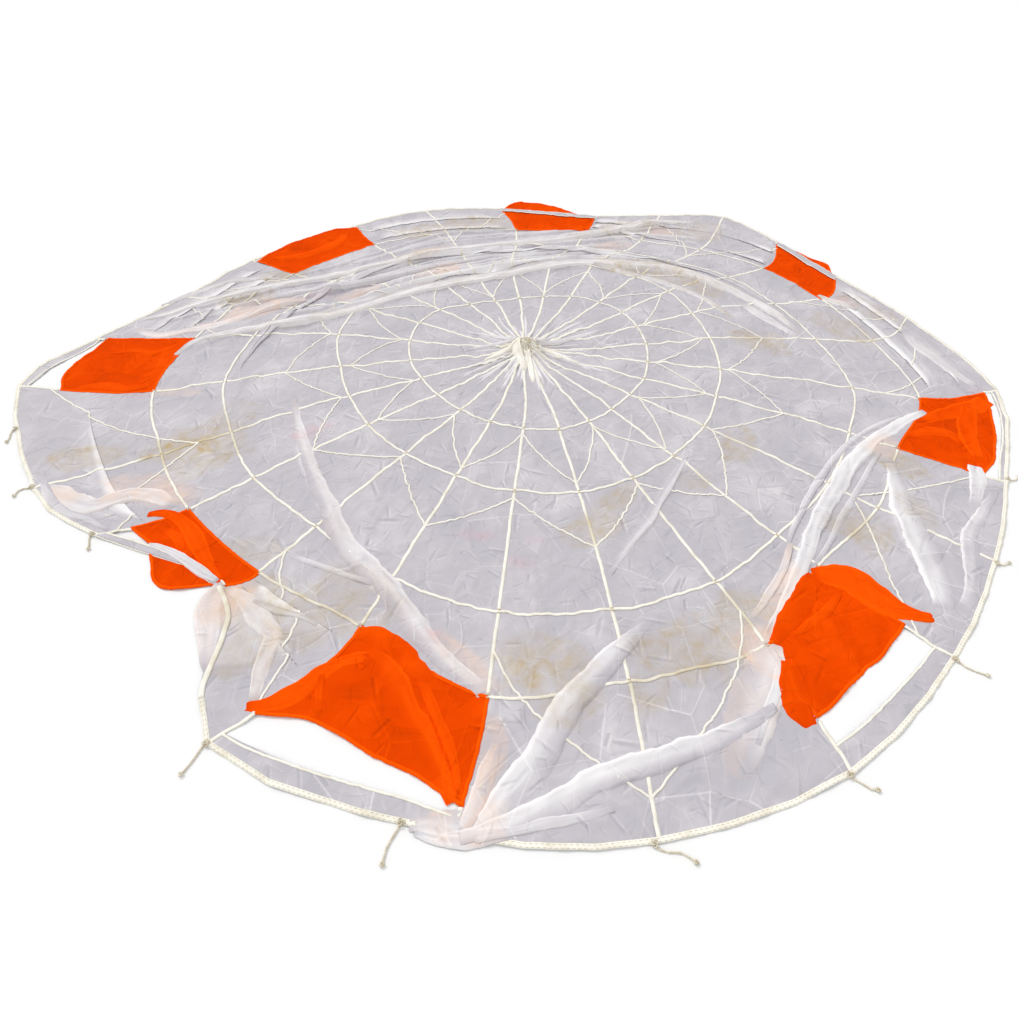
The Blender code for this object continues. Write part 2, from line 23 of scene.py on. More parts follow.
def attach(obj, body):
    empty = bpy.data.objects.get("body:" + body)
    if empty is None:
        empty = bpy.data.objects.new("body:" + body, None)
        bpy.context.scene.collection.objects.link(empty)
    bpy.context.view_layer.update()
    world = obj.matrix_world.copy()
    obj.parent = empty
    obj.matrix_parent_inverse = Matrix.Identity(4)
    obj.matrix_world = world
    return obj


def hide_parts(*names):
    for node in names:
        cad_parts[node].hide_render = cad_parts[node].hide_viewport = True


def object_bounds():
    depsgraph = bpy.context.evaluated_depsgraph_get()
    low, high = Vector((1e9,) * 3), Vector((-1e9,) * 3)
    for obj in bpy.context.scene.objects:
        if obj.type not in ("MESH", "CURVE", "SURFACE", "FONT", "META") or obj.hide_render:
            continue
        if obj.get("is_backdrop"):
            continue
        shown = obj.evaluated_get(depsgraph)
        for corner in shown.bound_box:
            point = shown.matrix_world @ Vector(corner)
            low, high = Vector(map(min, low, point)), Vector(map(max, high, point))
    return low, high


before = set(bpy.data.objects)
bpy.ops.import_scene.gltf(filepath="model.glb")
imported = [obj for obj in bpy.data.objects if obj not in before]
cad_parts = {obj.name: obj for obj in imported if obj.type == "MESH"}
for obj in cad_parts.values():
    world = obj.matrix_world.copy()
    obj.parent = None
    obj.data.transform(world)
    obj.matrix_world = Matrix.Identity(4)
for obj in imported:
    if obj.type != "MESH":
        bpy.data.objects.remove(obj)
CAD_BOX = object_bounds()

LOG = logging.getLogger("canopy")
Array = np.ndarray
Material = bpy.types.Material
Node = bpy.types.Node
Piece = bpy.types.Object
Socket = bpy.types.NodeSocket
Add = Callable[..., Node]

GORES = 24
FIRST_RADIAL_DEG = 190.4
STEP_DEG = 360 / GORES
VENT = 0.080
RINGS = (0.96, 1.56, 2.50, 2.97)
SKIRT = 4.00
# The cloth ends this far short of the skirt line, under its tape.
SKIRT_CLOTH = SKIRT - 0.004
CLOTH_RISE = 0.0012


# ---------------------------------------------------------------- colours and materials


class Hue(Enum):
    """Colours of the canopy's materials, as sRGB hex."""

    SINGLE = "BFBBC1"
    # The deep colours here are painted shade in dents, hollows and on facets tilted one way, and darker random tone;
    # the doubled and bright ones are cloth that lies double and also painted highlights on crests and facet edges.
    DEEP = "A3A2AD"
    DOUBLED_AND_HIGHLIGHT = "F1EEEF"
    TAN = "B9A272"
    PEACH = "F3CDB2"
    ROSE = "D99AA6"
    ORANGE = "E64602"
    ORANGE_DEEP = "BE3A04"
    ORANGE_BRIGHT = "FF5A06"
    TAPE = "F7F4E9"
    TAPE_WORN = "E0D7C2"
    SEAM = "F5F1E7"
    TACK = "CDBB98"
    LINE = "F1EADB"
    LINE_DIRT_AND_SHADE = "D2C6A8"
    FLOOR = "F3F3F3"
    CREAM = "EFE9DB"
    CREAM_DEEP = "D3C7A9"
    CREAM_LIGHT = "FFFCF5"


def linear(colour: Hue) -> tuple[float, float, float, float]:
    """The linear RGBA of a colour."""
    parts = [int(colour.value[i : i + 2], 16) / 255 for i in (0, 2, 4)]
    low = [part / 12.92 if part <= 0.04045 else ((part + 0.055) / 1.055) ** 2.4 for part in parts]
    return (*low, 1.0)


def feed(tree: bpy.types.NodeTree, node: Node, inputs: dict) -> None:
    """Sets a node's inputs, by name or number, to constants, sockets or nodes' first outputs."""
    for name, value in inputs.items():
        if isinstance(value, Node):
            value = value.outputs[0]
        if isinstance(value, Socket):
            tree.links.new(value, node.inputs[name])
        else:
            node.inputs[name].default_value = value


def add_node(tree: bpy.types.NodeTree, kind: str, inputs: dict | None = None, **settings: object) -> Node:
    """Adds one node to a tree.

    Args:
        tree: The node tree.
        kind: The node's type name.
        inputs: For each input, by name or number, what feeds it.
        settings: The node's own properties.

    Returns:
        The new node.
    """
    node = tree.nodes.new(kind)
    for name, value in settings.items():
        setattr(node, name, value)
    feed(tree, node, inputs or {})
    return node


def wave_scale(spacing_mm: float) -> float:
    """The scale at which a wave texture's bands are `spacing_mm` apart."""
    return 1000 / spacing_mm / (2 * math.pi)


def turned_cells(add: Add, place: Node, scale: float, turn: float, **settings: str) -> tuple[Node, Node]:
    """Scatters cells, each turned its own way.

    Args:
        add: Adds a node to the tree.
        place: The node that gives the place.
        scale: Cells to a metre.
        turn: The largest turn.
        settings: The cell texture's properties.

    Returns:
        Each cell's random numbers, and the place within it.
    """
    cells = add("ShaderNodeTexVoronoi", {"Vector": place, "Scale": scale}, **settings)
    draw = add("ShaderNodeSeparateColor", {0: cells.outputs["Color"]})
    off = add("ShaderNodeVectorMath", {0: place, 1: cells.outputs["Position"]}, operation="SUBTRACT")
    angle = add("ShaderNodeMath", {0: draw, 1: turn}, operation="MULTIPLY")
    turned = add("ShaderNodeVectorRotate", {"Vector": off, "Angle": angle}, rotation_type="Z_AXIS")
    return draw, add("ShaderNodeSeparateXYZ", {0: turned})


@dataclass(frozen=True)
class Creases:
    """Short sharp creases scattered over a cloth, each with its own direction and depth."""

    cell_mm: float
    length_mm: float
    width_mm: float
    bend: float
    shift: float = 0.0

    def height(self, add: Add, place: Socket) -> Node:
        """Adds the pattern and returns its height, from -1 in a dent to 1 on a crest."""
        half_length, half_width = self.length_mm / 2000, self.width_mm / 2000
        bent = add("ShaderNodeTexNoise", {"Vector": place, "Scale": 420 / self.cell_mm, "Detail": 1.0})
        shift = add("ShaderNodeVectorMath", {0: bent.outputs["Color"], 1: (0.5, 0.5, 0.5)},
            operation="SUBTRACT")
        spot = add("ShaderNodeVectorMath", {0: shift, 1: (self.bend, self.bend, 0.0), 2: place},
            operation="MULTIPLY_ADD")
        flat = add("ShaderNodeVectorMath", {0: spot, 1: (1.0, 1.0, 0.0), 2: (self.shift, 0.7 * self.shift,
            0.0)}, operation="MULTIPLY_ADD")
        draw, parts = turned_cells(add, flat, 1000 / self.cell_mm, math.pi)
        profile = []
        for output, size, flat_share in ((0, half_length, 0.25), (1, half_width, 0.0)):
            away = add("ShaderNodeMath", {0: parts.outputs[output]}, operation="ABSOLUTE")
            profile.append(add("ShaderNodeMapRange", {"Value": away, "From Min": size,
                "From Max": flat_share * size}, interpolation_type="SMOOTHSTEP"))
        dent = add("ShaderNodeMath", {0: profile[0], 1: profile[1]}, operation="MULTIPLY")
        # A low crest runs along one side of the dent.
        beside = add("ShaderNodeMath", {0: parts.outputs[1], 1: 0.6 * self.width_mm / 1000},
            operation="SUBTRACT")
        beside = add("ShaderNodeMath", {0: beside}, operation="ABSOLUTE")
        crest = add("ShaderNodeMapRange", {"Value": beside, "From Min": 0.45 * self.width_mm / 1000,
            "From Max": 0.0}, interpolation_type="SMOOTHSTEP")
        crest = add("ShaderNodeMath", {0: profile[0], 1: crest}, operation="MULTIPLY")
        shape = add("ShaderNodeMath", {0: crest, 1: 0.55, 2: 0.0}, operation="MULTIPLY_ADD")
        shape = add("ShaderNodeMath", {0: shape, 1: dent}, operation="SUBTRACT")
        depth = add("ShaderNodeMapRange", {"Value": draw.outputs[1], "From Min": 0.35, "To Min": 0.0,
            "To Max": 1.0})
        return add("ShaderNodeMath", {0: shape, 1: depth}, operation="MULTIPLY")


@dataclass(frozen=True)
class Facets:
    """Flat facets of crushed cloth, each tilted its own way, with a fine line along their edges."""

    cell_mm: float
    line_mm: float
    bend: float
    shift: float = 0.0

    def tilt_and_lines(self, add: Add, place: Socket) -> tuple[Node, Node]:
        """Adds the pattern and returns its tilt, -1 to 1, and its edge lines, 0 to 1."""
        scale = 1000 / self.cell_mm
        flat = add("ShaderNodeVectorMath", {0: place, 1: (1.0, 1.0, 0.0), 2: (self.shift, 0.6 * self.shift,
            0.0)}, operation="MULTIPLY_ADD")
        bent = add("ShaderNodeTexNoise", {"Vector": flat, "Scale": 0.8 * scale, "Detail": 0.0})
        warped = add("ShaderNodeVectorMath", {0: bent.outputs["Color"], 1: (self.bend, self.bend, 0.0),
            2: flat}, operation="MULTIPLY_ADD")
        draw, parts = turned_cells(add, warped, scale, 2 * math.pi, voronoi_dimensions="2D")
        border = add("ShaderNodeTexVoronoi", {"Vector": warped, "Scale": scale}, voronoi_dimensions="2D",
            feature="DISTANCE_TO_EDGE").outputs["Distance"]
        tilt = add("ShaderNodeMath", {0: parts, 1: 1.6 * scale}, operation="MULTIPLY")
        inside = add("ShaderNodeMapRange", {"Value": border, "From Max": 0.10},
            interpolation_type="SMOOTHSTEP")
        tilt = add("ShaderNodeMath", {0: tilt, 1: inside}, operation="MULTIPLY")
        line = add("ShaderNodeMapRange", {"Value": border, "From Min": self.line_mm / self.cell_mm,
            "From Max": 0.0}, interpolation_type="SMOOTHSTEP")
        kept = add("ShaderNodeMapRange", {"Value": draw.outputs[2], "From Min": 0.45, "From Max": 0.75})
        return tilt, add("ShaderNodeMath", {0: line, 1: kept}, operation="MULTIPLY")


class Finish:
    """A Principled material. Each kind of it says what feeds its shader."""

    name: str

    def inputs(self, add: Add, place: Socket) -> dict:
        """What feeds each input of the shader: a constant, a socket or a node."""
        raise NotImplementedError

    def make(self) -> Material:
        """The material."""
        made = bpy.data.materials.new(self.name)
        made.use_nodes = True
        add = partial(add_node, made.node_tree)
        place = add("ShaderNodeTexCoord").outputs["Object"]
        feed(made.node_tree, made.node_tree.nodes["Principled BSDF"], self.inputs(add, place))
        return made


def patchy(add: Add, noise: dict, low: float, high: float, clean: Hue, worn: Hue) -> Socket:
    """A clean colour that turns to a worn one where a noise lies between two values."""
    wear = add("ShaderNodeTexNoise", noise)
    share = add("ShaderNodeMapRange", {"Value": wear, "From Min": low, "From Max": high})
    return add("ShaderNodeMix", {0: share, 6: linear(clean), 7: linear(worn)}, data_type="RGBA").outputs[2]


@dataclass(frozen=True)
class SheerNylon(Finish):
    """Thin plain-woven nylon. Sheer cloth looks greyer in one layer and whiter where it lies double.

    Its `pale`, `stain`, `peach` and `rose` are attributes of the mesh, and `pale` also carries painted highlights on
    crests.
    The colour also holds painted shade and painted highlights: dents are painted darker, crests and facet edges paler,
    and each facet lighter or darker by its tilt.
    """

    name: str
    single: Hue
    # The deep colour is painted shade in dents and hollows as well as darker random tone.
    deep: Hue
    # Besides cloth that lies double, this colour paints highlights on crests and facet edges.
    doubled: Hue
    dent_shade: float = 0.27
    tilt_shade: float = 0.05
    line_shade: float = 0.22
    gloss: float = 0.16
    ior: float = 1.5
    roughness: float = 0.62
    # The thread is far finer than this: it is drawn coarse enough to show close up.
    thread_mm: float = 4.0
    # Creases of three sizes and facets of three: shift, weight, cell and size in millimetres.
    crease_sizes: ClassVar = ((0.0, 1.0, 230.0, 200.0, 30.0), (7.3, 0.9, 150.0, 145.0, 22.0),
        (3.1, 0.6, 92.0, 88.0, 15.0))
    facet_sizes: ClassVar = ((0.0, 1.0, 420.0, 9.0), (5.7, 0.7, 210.0, 7.0), (12.4, 0.3, 110.0, 5.0))
    # Each mark's colour, and between which values of a noise it turns ragged.
    marks: ClassVar = (("stain", Hue.TAN, 0.40, 0.64), ("peach", Hue.PEACH, 0.30, 0.50),
        ("rose", Hue.ROSE, 0.40, 0.60))

    def patterns(self, add: Add, place: Socket) -> list[Node]:
        """Adds creases and facets, and returns creases' height, facets' tilt and their edge lines."""
        creases, tilts, lines = 0.0, 0.0, 0.0
        for shift, weight, cell, length, width in self.crease_sizes:
            layer = Creases(cell, length, width, 0.05, shift).height(add, place)
            creases = add("ShaderNodeMath", {0: layer, 1: weight, 2: creases}, operation="MULTIPLY_ADD")
        for shift, weight, cell, line in self.facet_sizes:
            tilt, edge = Facets(cell, line, 0.25 * cell / 1000, shift).tilt_and_lines(add, place)
            tilts = add("ShaderNodeMath", {0: tilt, 1: weight, 2: tilts}, operation="MULTIPLY_ADD")
            lines = add("ShaderNodeMath", {0: edge, 1: weight, 2: lines}, operation="MULTIPLY_ADD")
        return [creases, tilts, lines]

    def stained(self, add: Add, place: Socket, colour: Socket) -> Socket:
        """Adds the mesh's marks, ragged at their edges."""
        ragged = add("ShaderNodeTexNoise", {"Vector": place, "Scale": 11.0, "Detail": 5.0,
            "Roughness": 0.68, "Distortion": 0.6})
        for name, hue, low, high in self.marks:
            amount = add("ShaderNodeAttribute", attribute_name=name).outputs["Fac"]
            share = add("ShaderNodeMapRange", {"Value": ragged, "From Min": low, "From Max": high,
                "To Min": 0.25, "To Max": 1.0})
            kept = add("ShaderNodeMath", {0: amount, 1: share}, operation="MULTIPLY")
            colour = add("ShaderNodeMix", {0: kept, 6: colour, 7: linear(hue)}, data_type="RGBA").outputs[2]
        return colour

    def inputs(self, add: Add, place: Socket) -> dict:
        """The colour by how pale the cloth lies there, and the relief of creases, facets and weave."""
        pale = add("ShaderNodeAttribute", attribute_name="pale").outputs["Fac"]
        cloud = add("ShaderNodeTexNoise", {"Vector": place, "Scale": 2.3, "Detail": 3.0, "Roughness": 0.55})
        lifted = add("ShaderNodeMapRange", {"Value": cloud, "From Min": 0.3, "From Max": 0.7,
            "To Min": -0.09, "To Max": 0.09})
        shade = add("ShaderNodeMath", {0: pale, 1: lifted}, operation="ADD")
        # Doubled cloth is stiffer, so it creases less.
        calm = add("ShaderNodeMapRange", {"Value": pale, "From Min": 0.5, "From Max": 1.0, "To Min": 1.0,
            "To Max": 0.35})
        # Creases paint their dents darker and their crests paler, facets are painted lighter or darker by their tilt,
        # and facet edges paler: painted shade and painted highlights in the colour.
        kept = []
        for height, amount in zip(self.patterns(add, place), (self.dent_shade, self.tilt_shade,
                self.line_shade)):
            kept.append(add("ShaderNodeMath", {0: height, 1: calm}, operation="MULTIPLY"))
            shade = add("ShaderNodeMath", {0: kept[-1], 1: amount, 2: shade}, operation="MULTIPLY_ADD")
        creases, tilt, lines = kept
        low = add("ShaderNodeMapRange", {"Value": shade, "From Max": 0.5})
        high = add("ShaderNodeMapRange", {"Value": shade, "From Min": 0.5})
        colour = linear(self.deep)
        for share, hue in ((low, self.single), (high, self.doubled)):
            colour = add("ShaderNodeMix", {0: share, 6: colour, 7: linear(hue)},
                data_type="RGBA").outputs[2]
        weave = add("ShaderNodeTexWave", {"Vector": place, "Scale": wave_scale(self.thread_mm),
            "Distortion": 1.5}, bands_direction="DIAGONAL")
        normal = {}
        for height, strength, depth in ((tilt, 1.0, 0.0045), (lines, 1.0, 0.0010), (creases, 1.0, 0.0022),
                (weave.outputs["Fac"], 0.05, 0.0005)):
            bump = add("ShaderNodeBump", {"Height": height, "Strength": strength, "Distance": depth,
                **normal})
            normal = {"Normal": bump}
        return {"Base Color": self.stained(add, place, colour), **normal, "Roughness": self.roughness,
            "IOR": self.ior, "Specular IOR Level": self.gloss}


@dataclass(frozen=True)
class WovenTape(Finish):
    """Flat nylon webbing: matte, ribbed across, darker where it is worn. Its UV map is in metres."""

    name: str
    colour: Hue = Hue.TAPE
    rib_mm: float = 5.0

    def inputs(self, add: Add, place: Socket) -> dict:
        """Worn and stained colour, and ribs across the tape."""
        colour = patchy(add, {"Vector": place, "Scale": 9.0, "Detail": 5.0, "Roughness": 0.65}, 0.45, 0.8,
            self.colour, Hue.TAPE_WORN)
        stain = add("ShaderNodeAttribute", attribute_name="stain").outputs["Fac"]
        colour = add("ShaderNodeMix", {0: stain, 6: colour, 7: linear(Hue.TAN)},
            data_type="RGBA").outputs[2]
        uv = add("ShaderNodeUVMap", uv_map="tape")
        rib = add("ShaderNodeTexWave", {"Vector": uv, "Scale": wave_scale(self.rib_mm)},
            bands_direction="X")
        bump = add("ShaderNodeBump", {"Height": rib.outputs["Fac"], "Strength": 0.25, "Distance": 0.0008})
        return {"Base Color": colour, "Normal": bump, "Roughness": 0.75, "Specular IOR Level": 0.2}


@dataclass(frozen=True)
class TackThread(Finish):
    """Close rows of tan thread, matte, drawn as coarse as they need to show."""

    name: str = "Tan tacking thread"
    row_mm: float = 3.0

    def inputs(self, add: Add, place: Socket) -> dict:
        """Rows, darker in their grooves."""
        rows = add("ShaderNodeTexWave", {"Vector": place, "Scale": wave_scale(self.row_mm),
            "Distortion": 2.0})
        rows = rows.outputs["Fac"]
        # The grooves between rows are painted darker: painted shade.
        colour = add("ShaderNodeMix", {0: rows, 6: linear(Hue.LINE_DIRT_AND_SHADE), 7: linear(Hue.TACK)},
            data_type="RGBA")
        bump = add("ShaderNodeBump", {"Height": rows, "Strength": 0.4, "Distance": 0.0006})
        return {"Base Color": colour.outputs[2], "Normal": bump, "Roughness": 0.85,
            "Specular IOR Level": 0.2}


@dataclass(frozen=True)
class TwistedLine(Finish):
    """Laid nylon cord: matte beige strands, with dirt in patches a few centimetres long."""

    name: str = "Twisted nylon cord"

    def inputs(self, add: Add, place: Socket) -> dict:
        """Patches of dirt, and the fibres' fine relief."""
        colour = patchy(add, {"Vector": place, "Scale": 30.0, "Detail": 4.0}, 0.4, 0.75, Hue.LINE,
            Hue.LINE_DIRT_AND_SHADE)
        fibre = add("ShaderNodeTexNoise", {"Vector": place, "Scale": 900.0, "Detail": 2.0})
        bump = add("ShaderNodeBump", {"Height": fibre, "Strength": 0.3, "Distance": 0.0004})
        return {"Base Color": colour, "Normal": bump, "Roughness": 0.85, "Specular IOR Level": 0.2}


@dataclass(frozen=True)
class FloorPaint(Finish):
    """Matte pale floor under the canopy."""

    name: str = "Pale floor paint"

    def inputs(self, add: Add, place: Socket) -> dict:
        """Plain constants."""
        return {"Base Color": linear(Hue.FLOOR), "Roughness": 0.9, "Specular IOR Level": 0.1}


# ---------------------------------------------------------------- how the cloth lies


def through(stations: Array, values: Array, where: Array) -> Array:
    """Values at places on a smooth line through (station, value) pairs, straight beyond the last."""
    stations, values = np.asarray(stations, float), np.asarray(values, float)
    where = np.asarray(where, float)
    widths = np.diff(stations)
    slopes = np.diff(values) / widths
    tangents = np.concatenate([slopes[:1], np.zeros(len(slopes) - 1), slopes[-1:]])
    product, total = slopes[:-1] * slopes[1:], slopes[:-1] + slopes[1:]
    kept = product > 0
    tangents[1:-1][kept] = 2 * product[kept] / total[kept]
    index = np.clip(np.searchsorted(stations, where, side="right") - 1, 0, len(widths) - 1)
    width = widths[index]
    t = (where - stations[index]) / width
    inside = ((2 * t**3 - 3 * t**2 + 1) * values[index] + (t**3 - 2 * t**2 + t) * width * tangents[index]
        + (3 * t**2 - 2 * t**3) * values[index + 1] + (t**3 - t**2) * width * tangents[index + 1])
    return np.where(t > 1, values[-1] + slopes[-1] * (where - stations[-1]), inside)


def between(before: Array, start: Array, end: Array, after: Array, t: Array) -> Array:
    """Points a share t of the way from start to end, on a smooth line through four points."""
    return 0.5 * (2 * start + (end - before) * t + (2 * before - 5 * start + 4 * end - after) * t**2
        + (3 * start - before - 3 * end + after) * t**3)


def smooth_step(low: float, high: float, value: Array) -> Array:
    """0 below low, 1 above high, and a smooth rise between them."""
    t = np.clip((np.asarray(value, float) - low) / (high - low), 0, 1)
    return t * t * (3 - 2 * t)


def metres(table: tuple) -> Array:
    """A table's places or widths, which are in centimetres, in metres."""
    return np.array(table) / 100


def norms(vectors: Array) -> Array:
    """The lengths of vectors."""
    return np.linalg.norm(vectors, axis=-1)


def walked(points: Array) -> Array:
    """How far along a line of points each of them is."""
    return np.concatenate([[0.0], np.cumsum(norms(np.diff(points, axis=0)))])


def unit(vectors: Array) -> Array:
    """Vectors of length 1 that point the same ways."""
    return vectors / np.maximum(norms(vectors)[..., None], 1e-9)


def left_of(ahead: Array) -> Array:
    """Directions to the left of plane directions."""
    return unit(np.stack([-ahead[:, 1], ahead[:, 0]], -1))


def runs(shown: Array) -> list[Array]:
    """The index runs where a flag holds, but for the very short ones."""
    parts = np.split(np.arange(len(shown)), np.flatnonzero(np.diff(shown)) + 1)
    return [run for run in parts if shown[run[0]] and len(run) > 3]


def soft_ramp(value: Array, rounding: float) -> Array:
    """0 for negative values and the value itself for positive ones, rounded at the corner."""
    return 0.5 * (value + np.sqrt(value * value + rounding * rounding))


def smooth_route(places: list, spacing: float) -> Array:
    """Points at an even spacing on a smooth line through places of two or three coordinates."""
    walk = np.asarray(places, float)
    ends = np.vstack([2 * walk[0] - walk[1], walk, 2 * walk[-1] - walk[-2]])
    points = []
    for index in range(1, len(ends) - 2):
        before, start, end, after = ends[index - 1 : index + 3]
        steps = max(1, round(float(np.linalg.norm(end - start)) / spacing))
        for share in np.arange(steps) / steps:
            points.append(between(before, start, end, after, share))
    return np.vstack([points, walk[-1]])


class Noise:
    """Smooth gradient noise over the plane, always the same for the same seed."""

    def __init__(self, seed: int) -> None:
        """Draws the gradients."""
        turns = np.random.default_rng(seed).random((256, 256)) * 2 * math.pi
        self.gradient = np.stack([np.cos(turns), np.sin(turns)])

    def at(self, x: Array, y: Array | float) -> Array:
        """The noise at places, about -1 to 1."""
        column, row = np.floor(x).astype(int), np.floor(y).astype(int)
        u, v = x - column, y - row
        ease_u, ease_v = u * u * u * (u * (6 * u - 15) + 10), v * v * v * (v * (6 * v - 15) + 10)

        def corner(i: int, j: int) -> Array:
            """What one corner's gradient adds."""
            gx, gy = self.gradient[:, (column + i) & 255, (row + j) & 255]
            return gx * (u - i) + gy * (v - j)

        low = corner(0, 0) + ease_u * (corner(1, 0) - corner(0, 0))
        high = corner(0, 1) + ease_u * (corner(1, 1) - corner(0, 1))
        return 1.5 * (low + ease_v * (high - low))


# How each radial tape lies: distances of its four ring crossings and its skirt end (m), and
# its swing from an even place at ring 2, ring 4 and the skirt (degrees).
RADIALS = np.array([
    (1.03, 1.59, 2.47, 2.98, 4.00, 1.0, 3.5, 0.0), (0.99, 1.57, 2.45, 2.92, 3.71, 0.0, 3.0, 3.0),
    (0.97, 1.57, 2.45, 2.89, 3.42, -1.0, 0.0, -2.0), (0.97, 1.56, 2.40, 2.84, 3.06, -0.5, 0.0, -2.0),
    (0.97, 1.57, 2.48, 2.83, 3.70, 0.0, 0.0, -5.6), (0.97, 1.60, 2.54, 3.05, 3.72, 0.0, 0.3, -0.8),
    (0.98, 1.61, 2.53, 2.97, 3.74, 0.5, -0.5, -1.6), (0.95, 1.58, 2.51, 2.97, 3.70, 0.0, 0.5, -0.7),
    (0.92, 1.55, 2.44, 2.74, 3.58, -0.4, -1.0, 0.3), (0.91, 1.53, 2.46, 2.80, 3.53, 0.6, -0.5, -0.5),
    (0.93, 1.51, 2.50, 2.84, 3.56, 0.5, -1.3, -2.3), (0.94, 1.53, 2.57, 3.08, 3.76, -0.5, -3.0, 0.6),
    (0.97, 1.55, 2.48, 2.98, 3.52, 0.5, -3.2, 2.6), (1.00, 1.58, 2.42, 2.90, 3.36, 1.0, -4.3, 1.5),
    (1.03, 1.62, 2.35, 2.80, 3.40, 0.0, -5.6, 0.0), (1.02, 1.58, 2.17, 2.58, 3.48, -2.0, -6.8, -2.9),
    (0.96, 1.50, 2.00, 2.36, 3.06, -1.0, -8.5, -7.6), (0.88, 1.42, 1.90, 2.30, 2.73, -1.0, -9.5, -9.5),
    (0.84, 1.38, 1.82, 2.19, 2.76, -1.0, -5.0, -2.0), (0.85, 1.39, 1.87, 2.27, 2.87, 0.0, -1.0, 0.0),
    (0.92, 1.45, 1.98, 2.40, 2.90, 0.0, 3.0, 1.5), (1.03, 1.55, 2.10, 2.55, 3.08, 0.0, 9.0, 9.0),
    (1.07, 1.61, 2.22, 2.68, 3.23, 0.0, 8.0, 8.6), (1.06, 1.64, 2.36, 2.84, 3.65, 0.0, 5.0, 6.0),
])
# Gores with an orange panel, an open slot and a narrow band: what lies on top where they
# cross, the panel's edge as shares from ring 4 to the skirt, and the band's width (m).
SLOTS = {
    2: ("band", (0.60, 0.68, 1.15, 1.80, 0.80), (0.070, 0.095, 0.065, 0.050, 0.048)),
    4: ("", (0.74, 0.60, 0.63, 0.67, 0.80), (0.085, 0.120, 0.130, 0.120, 0.085)),
    7: ("", (0.59, 0.58, 0.61, 0.66, 0.66), (0.150, 0.147, 0.143, 0.127, 0.120)),
    10: ("", (0.78, 0.87, 0.84, 0.81, 0.80), (0.060, 0.060, 0.060, 0.065, 0.070)),
    13: ("band", (0.86, 1.18, 1.04, 0.95, 0.88), (0.100, 0.115, 0.120, 0.115, 0.100)),
    17: ("band", (0.80, 1.04, 1.34, 1.36, 0.86), (0.090, 0.095, 0.100, 0.095, 0.090)),
    20: ("panel", (0.84, 1.04, 1.04, 0.98, 0.84), (0.060, 0.060, 0.060, 0.060, 0.060)),
    23: ("", (0.86, 0.80, 0.77, 0.73, 0.67), (0.060, 0.115, 0.130, 0.120, 0.085)),
}
SLOT_STATIONS = (0.0, 0.25, 0.5, 0.75, 1.0)
SKIRT_STATIONS = np.array([0.0, 0.33, 0.67, 1.0])


@dataclass(frozen=True)
class Pleat:
    """Spare cloth that runs outward, back and outward again, over some gores.

    `crests` holds, for each fold, its share of the spare cloth and where its inner edge lies:
    the name of a Fold, or a share of the way across the pleat.
    """

    first: float
    last: float
    low: float
    high: float
    crests: tuple
    height: float
    fades: tuple = (0.25, 0.25)


PLEATS = (
    Pleat(11.6, 24.0, 1.42, 2.46, ((0.62, "far_roll"), (0.38, "back_roll")), 0.025, (0.5, 0.35)),
    Pleat(0.0, 2.0, 3.02, 3.92, ((1.0, 0.42),), 0.009, (0.35, 0.35)),
    Pleat(3.0, 4.0, 3.02, 3.92, ((0.5, 0.08), (0.5, 0.42)), 0.009, (0.30, 0.30)),
    Pleat(11.0, 13.0, 3.02, 3.92, ((0.5, 0.10), (0.5, 0.55)), 0.009, (0.35, 0.35)),
    Pleat(14.0, 17.0, 3.02, 3.92, ((0.5, 0.05), (0.5, 0.50)), 0.019, (0.15, 0.12)),
    Pleat(18.0, 20.0, 3.02, 3.92, ((0.5, 0.05), (0.5, 0.50)), 0.009, (0.35, 0.35)),
    Pleat(21.0, 23.0, 3.02, 3.92, ((0.5, 0.10), (0.5, 0.50)), 0.009, (0.35, 0.35)),
)
# The length over which a fold turns, and how far one layer of cloth lifts the next.
BEND = 0.012
LAYER = 0.0016
FLAP_GORE = 3
# The gathered vent lies a little beside the canopy's middle.
VENT_SHIFT = (-0.070, -0.005)


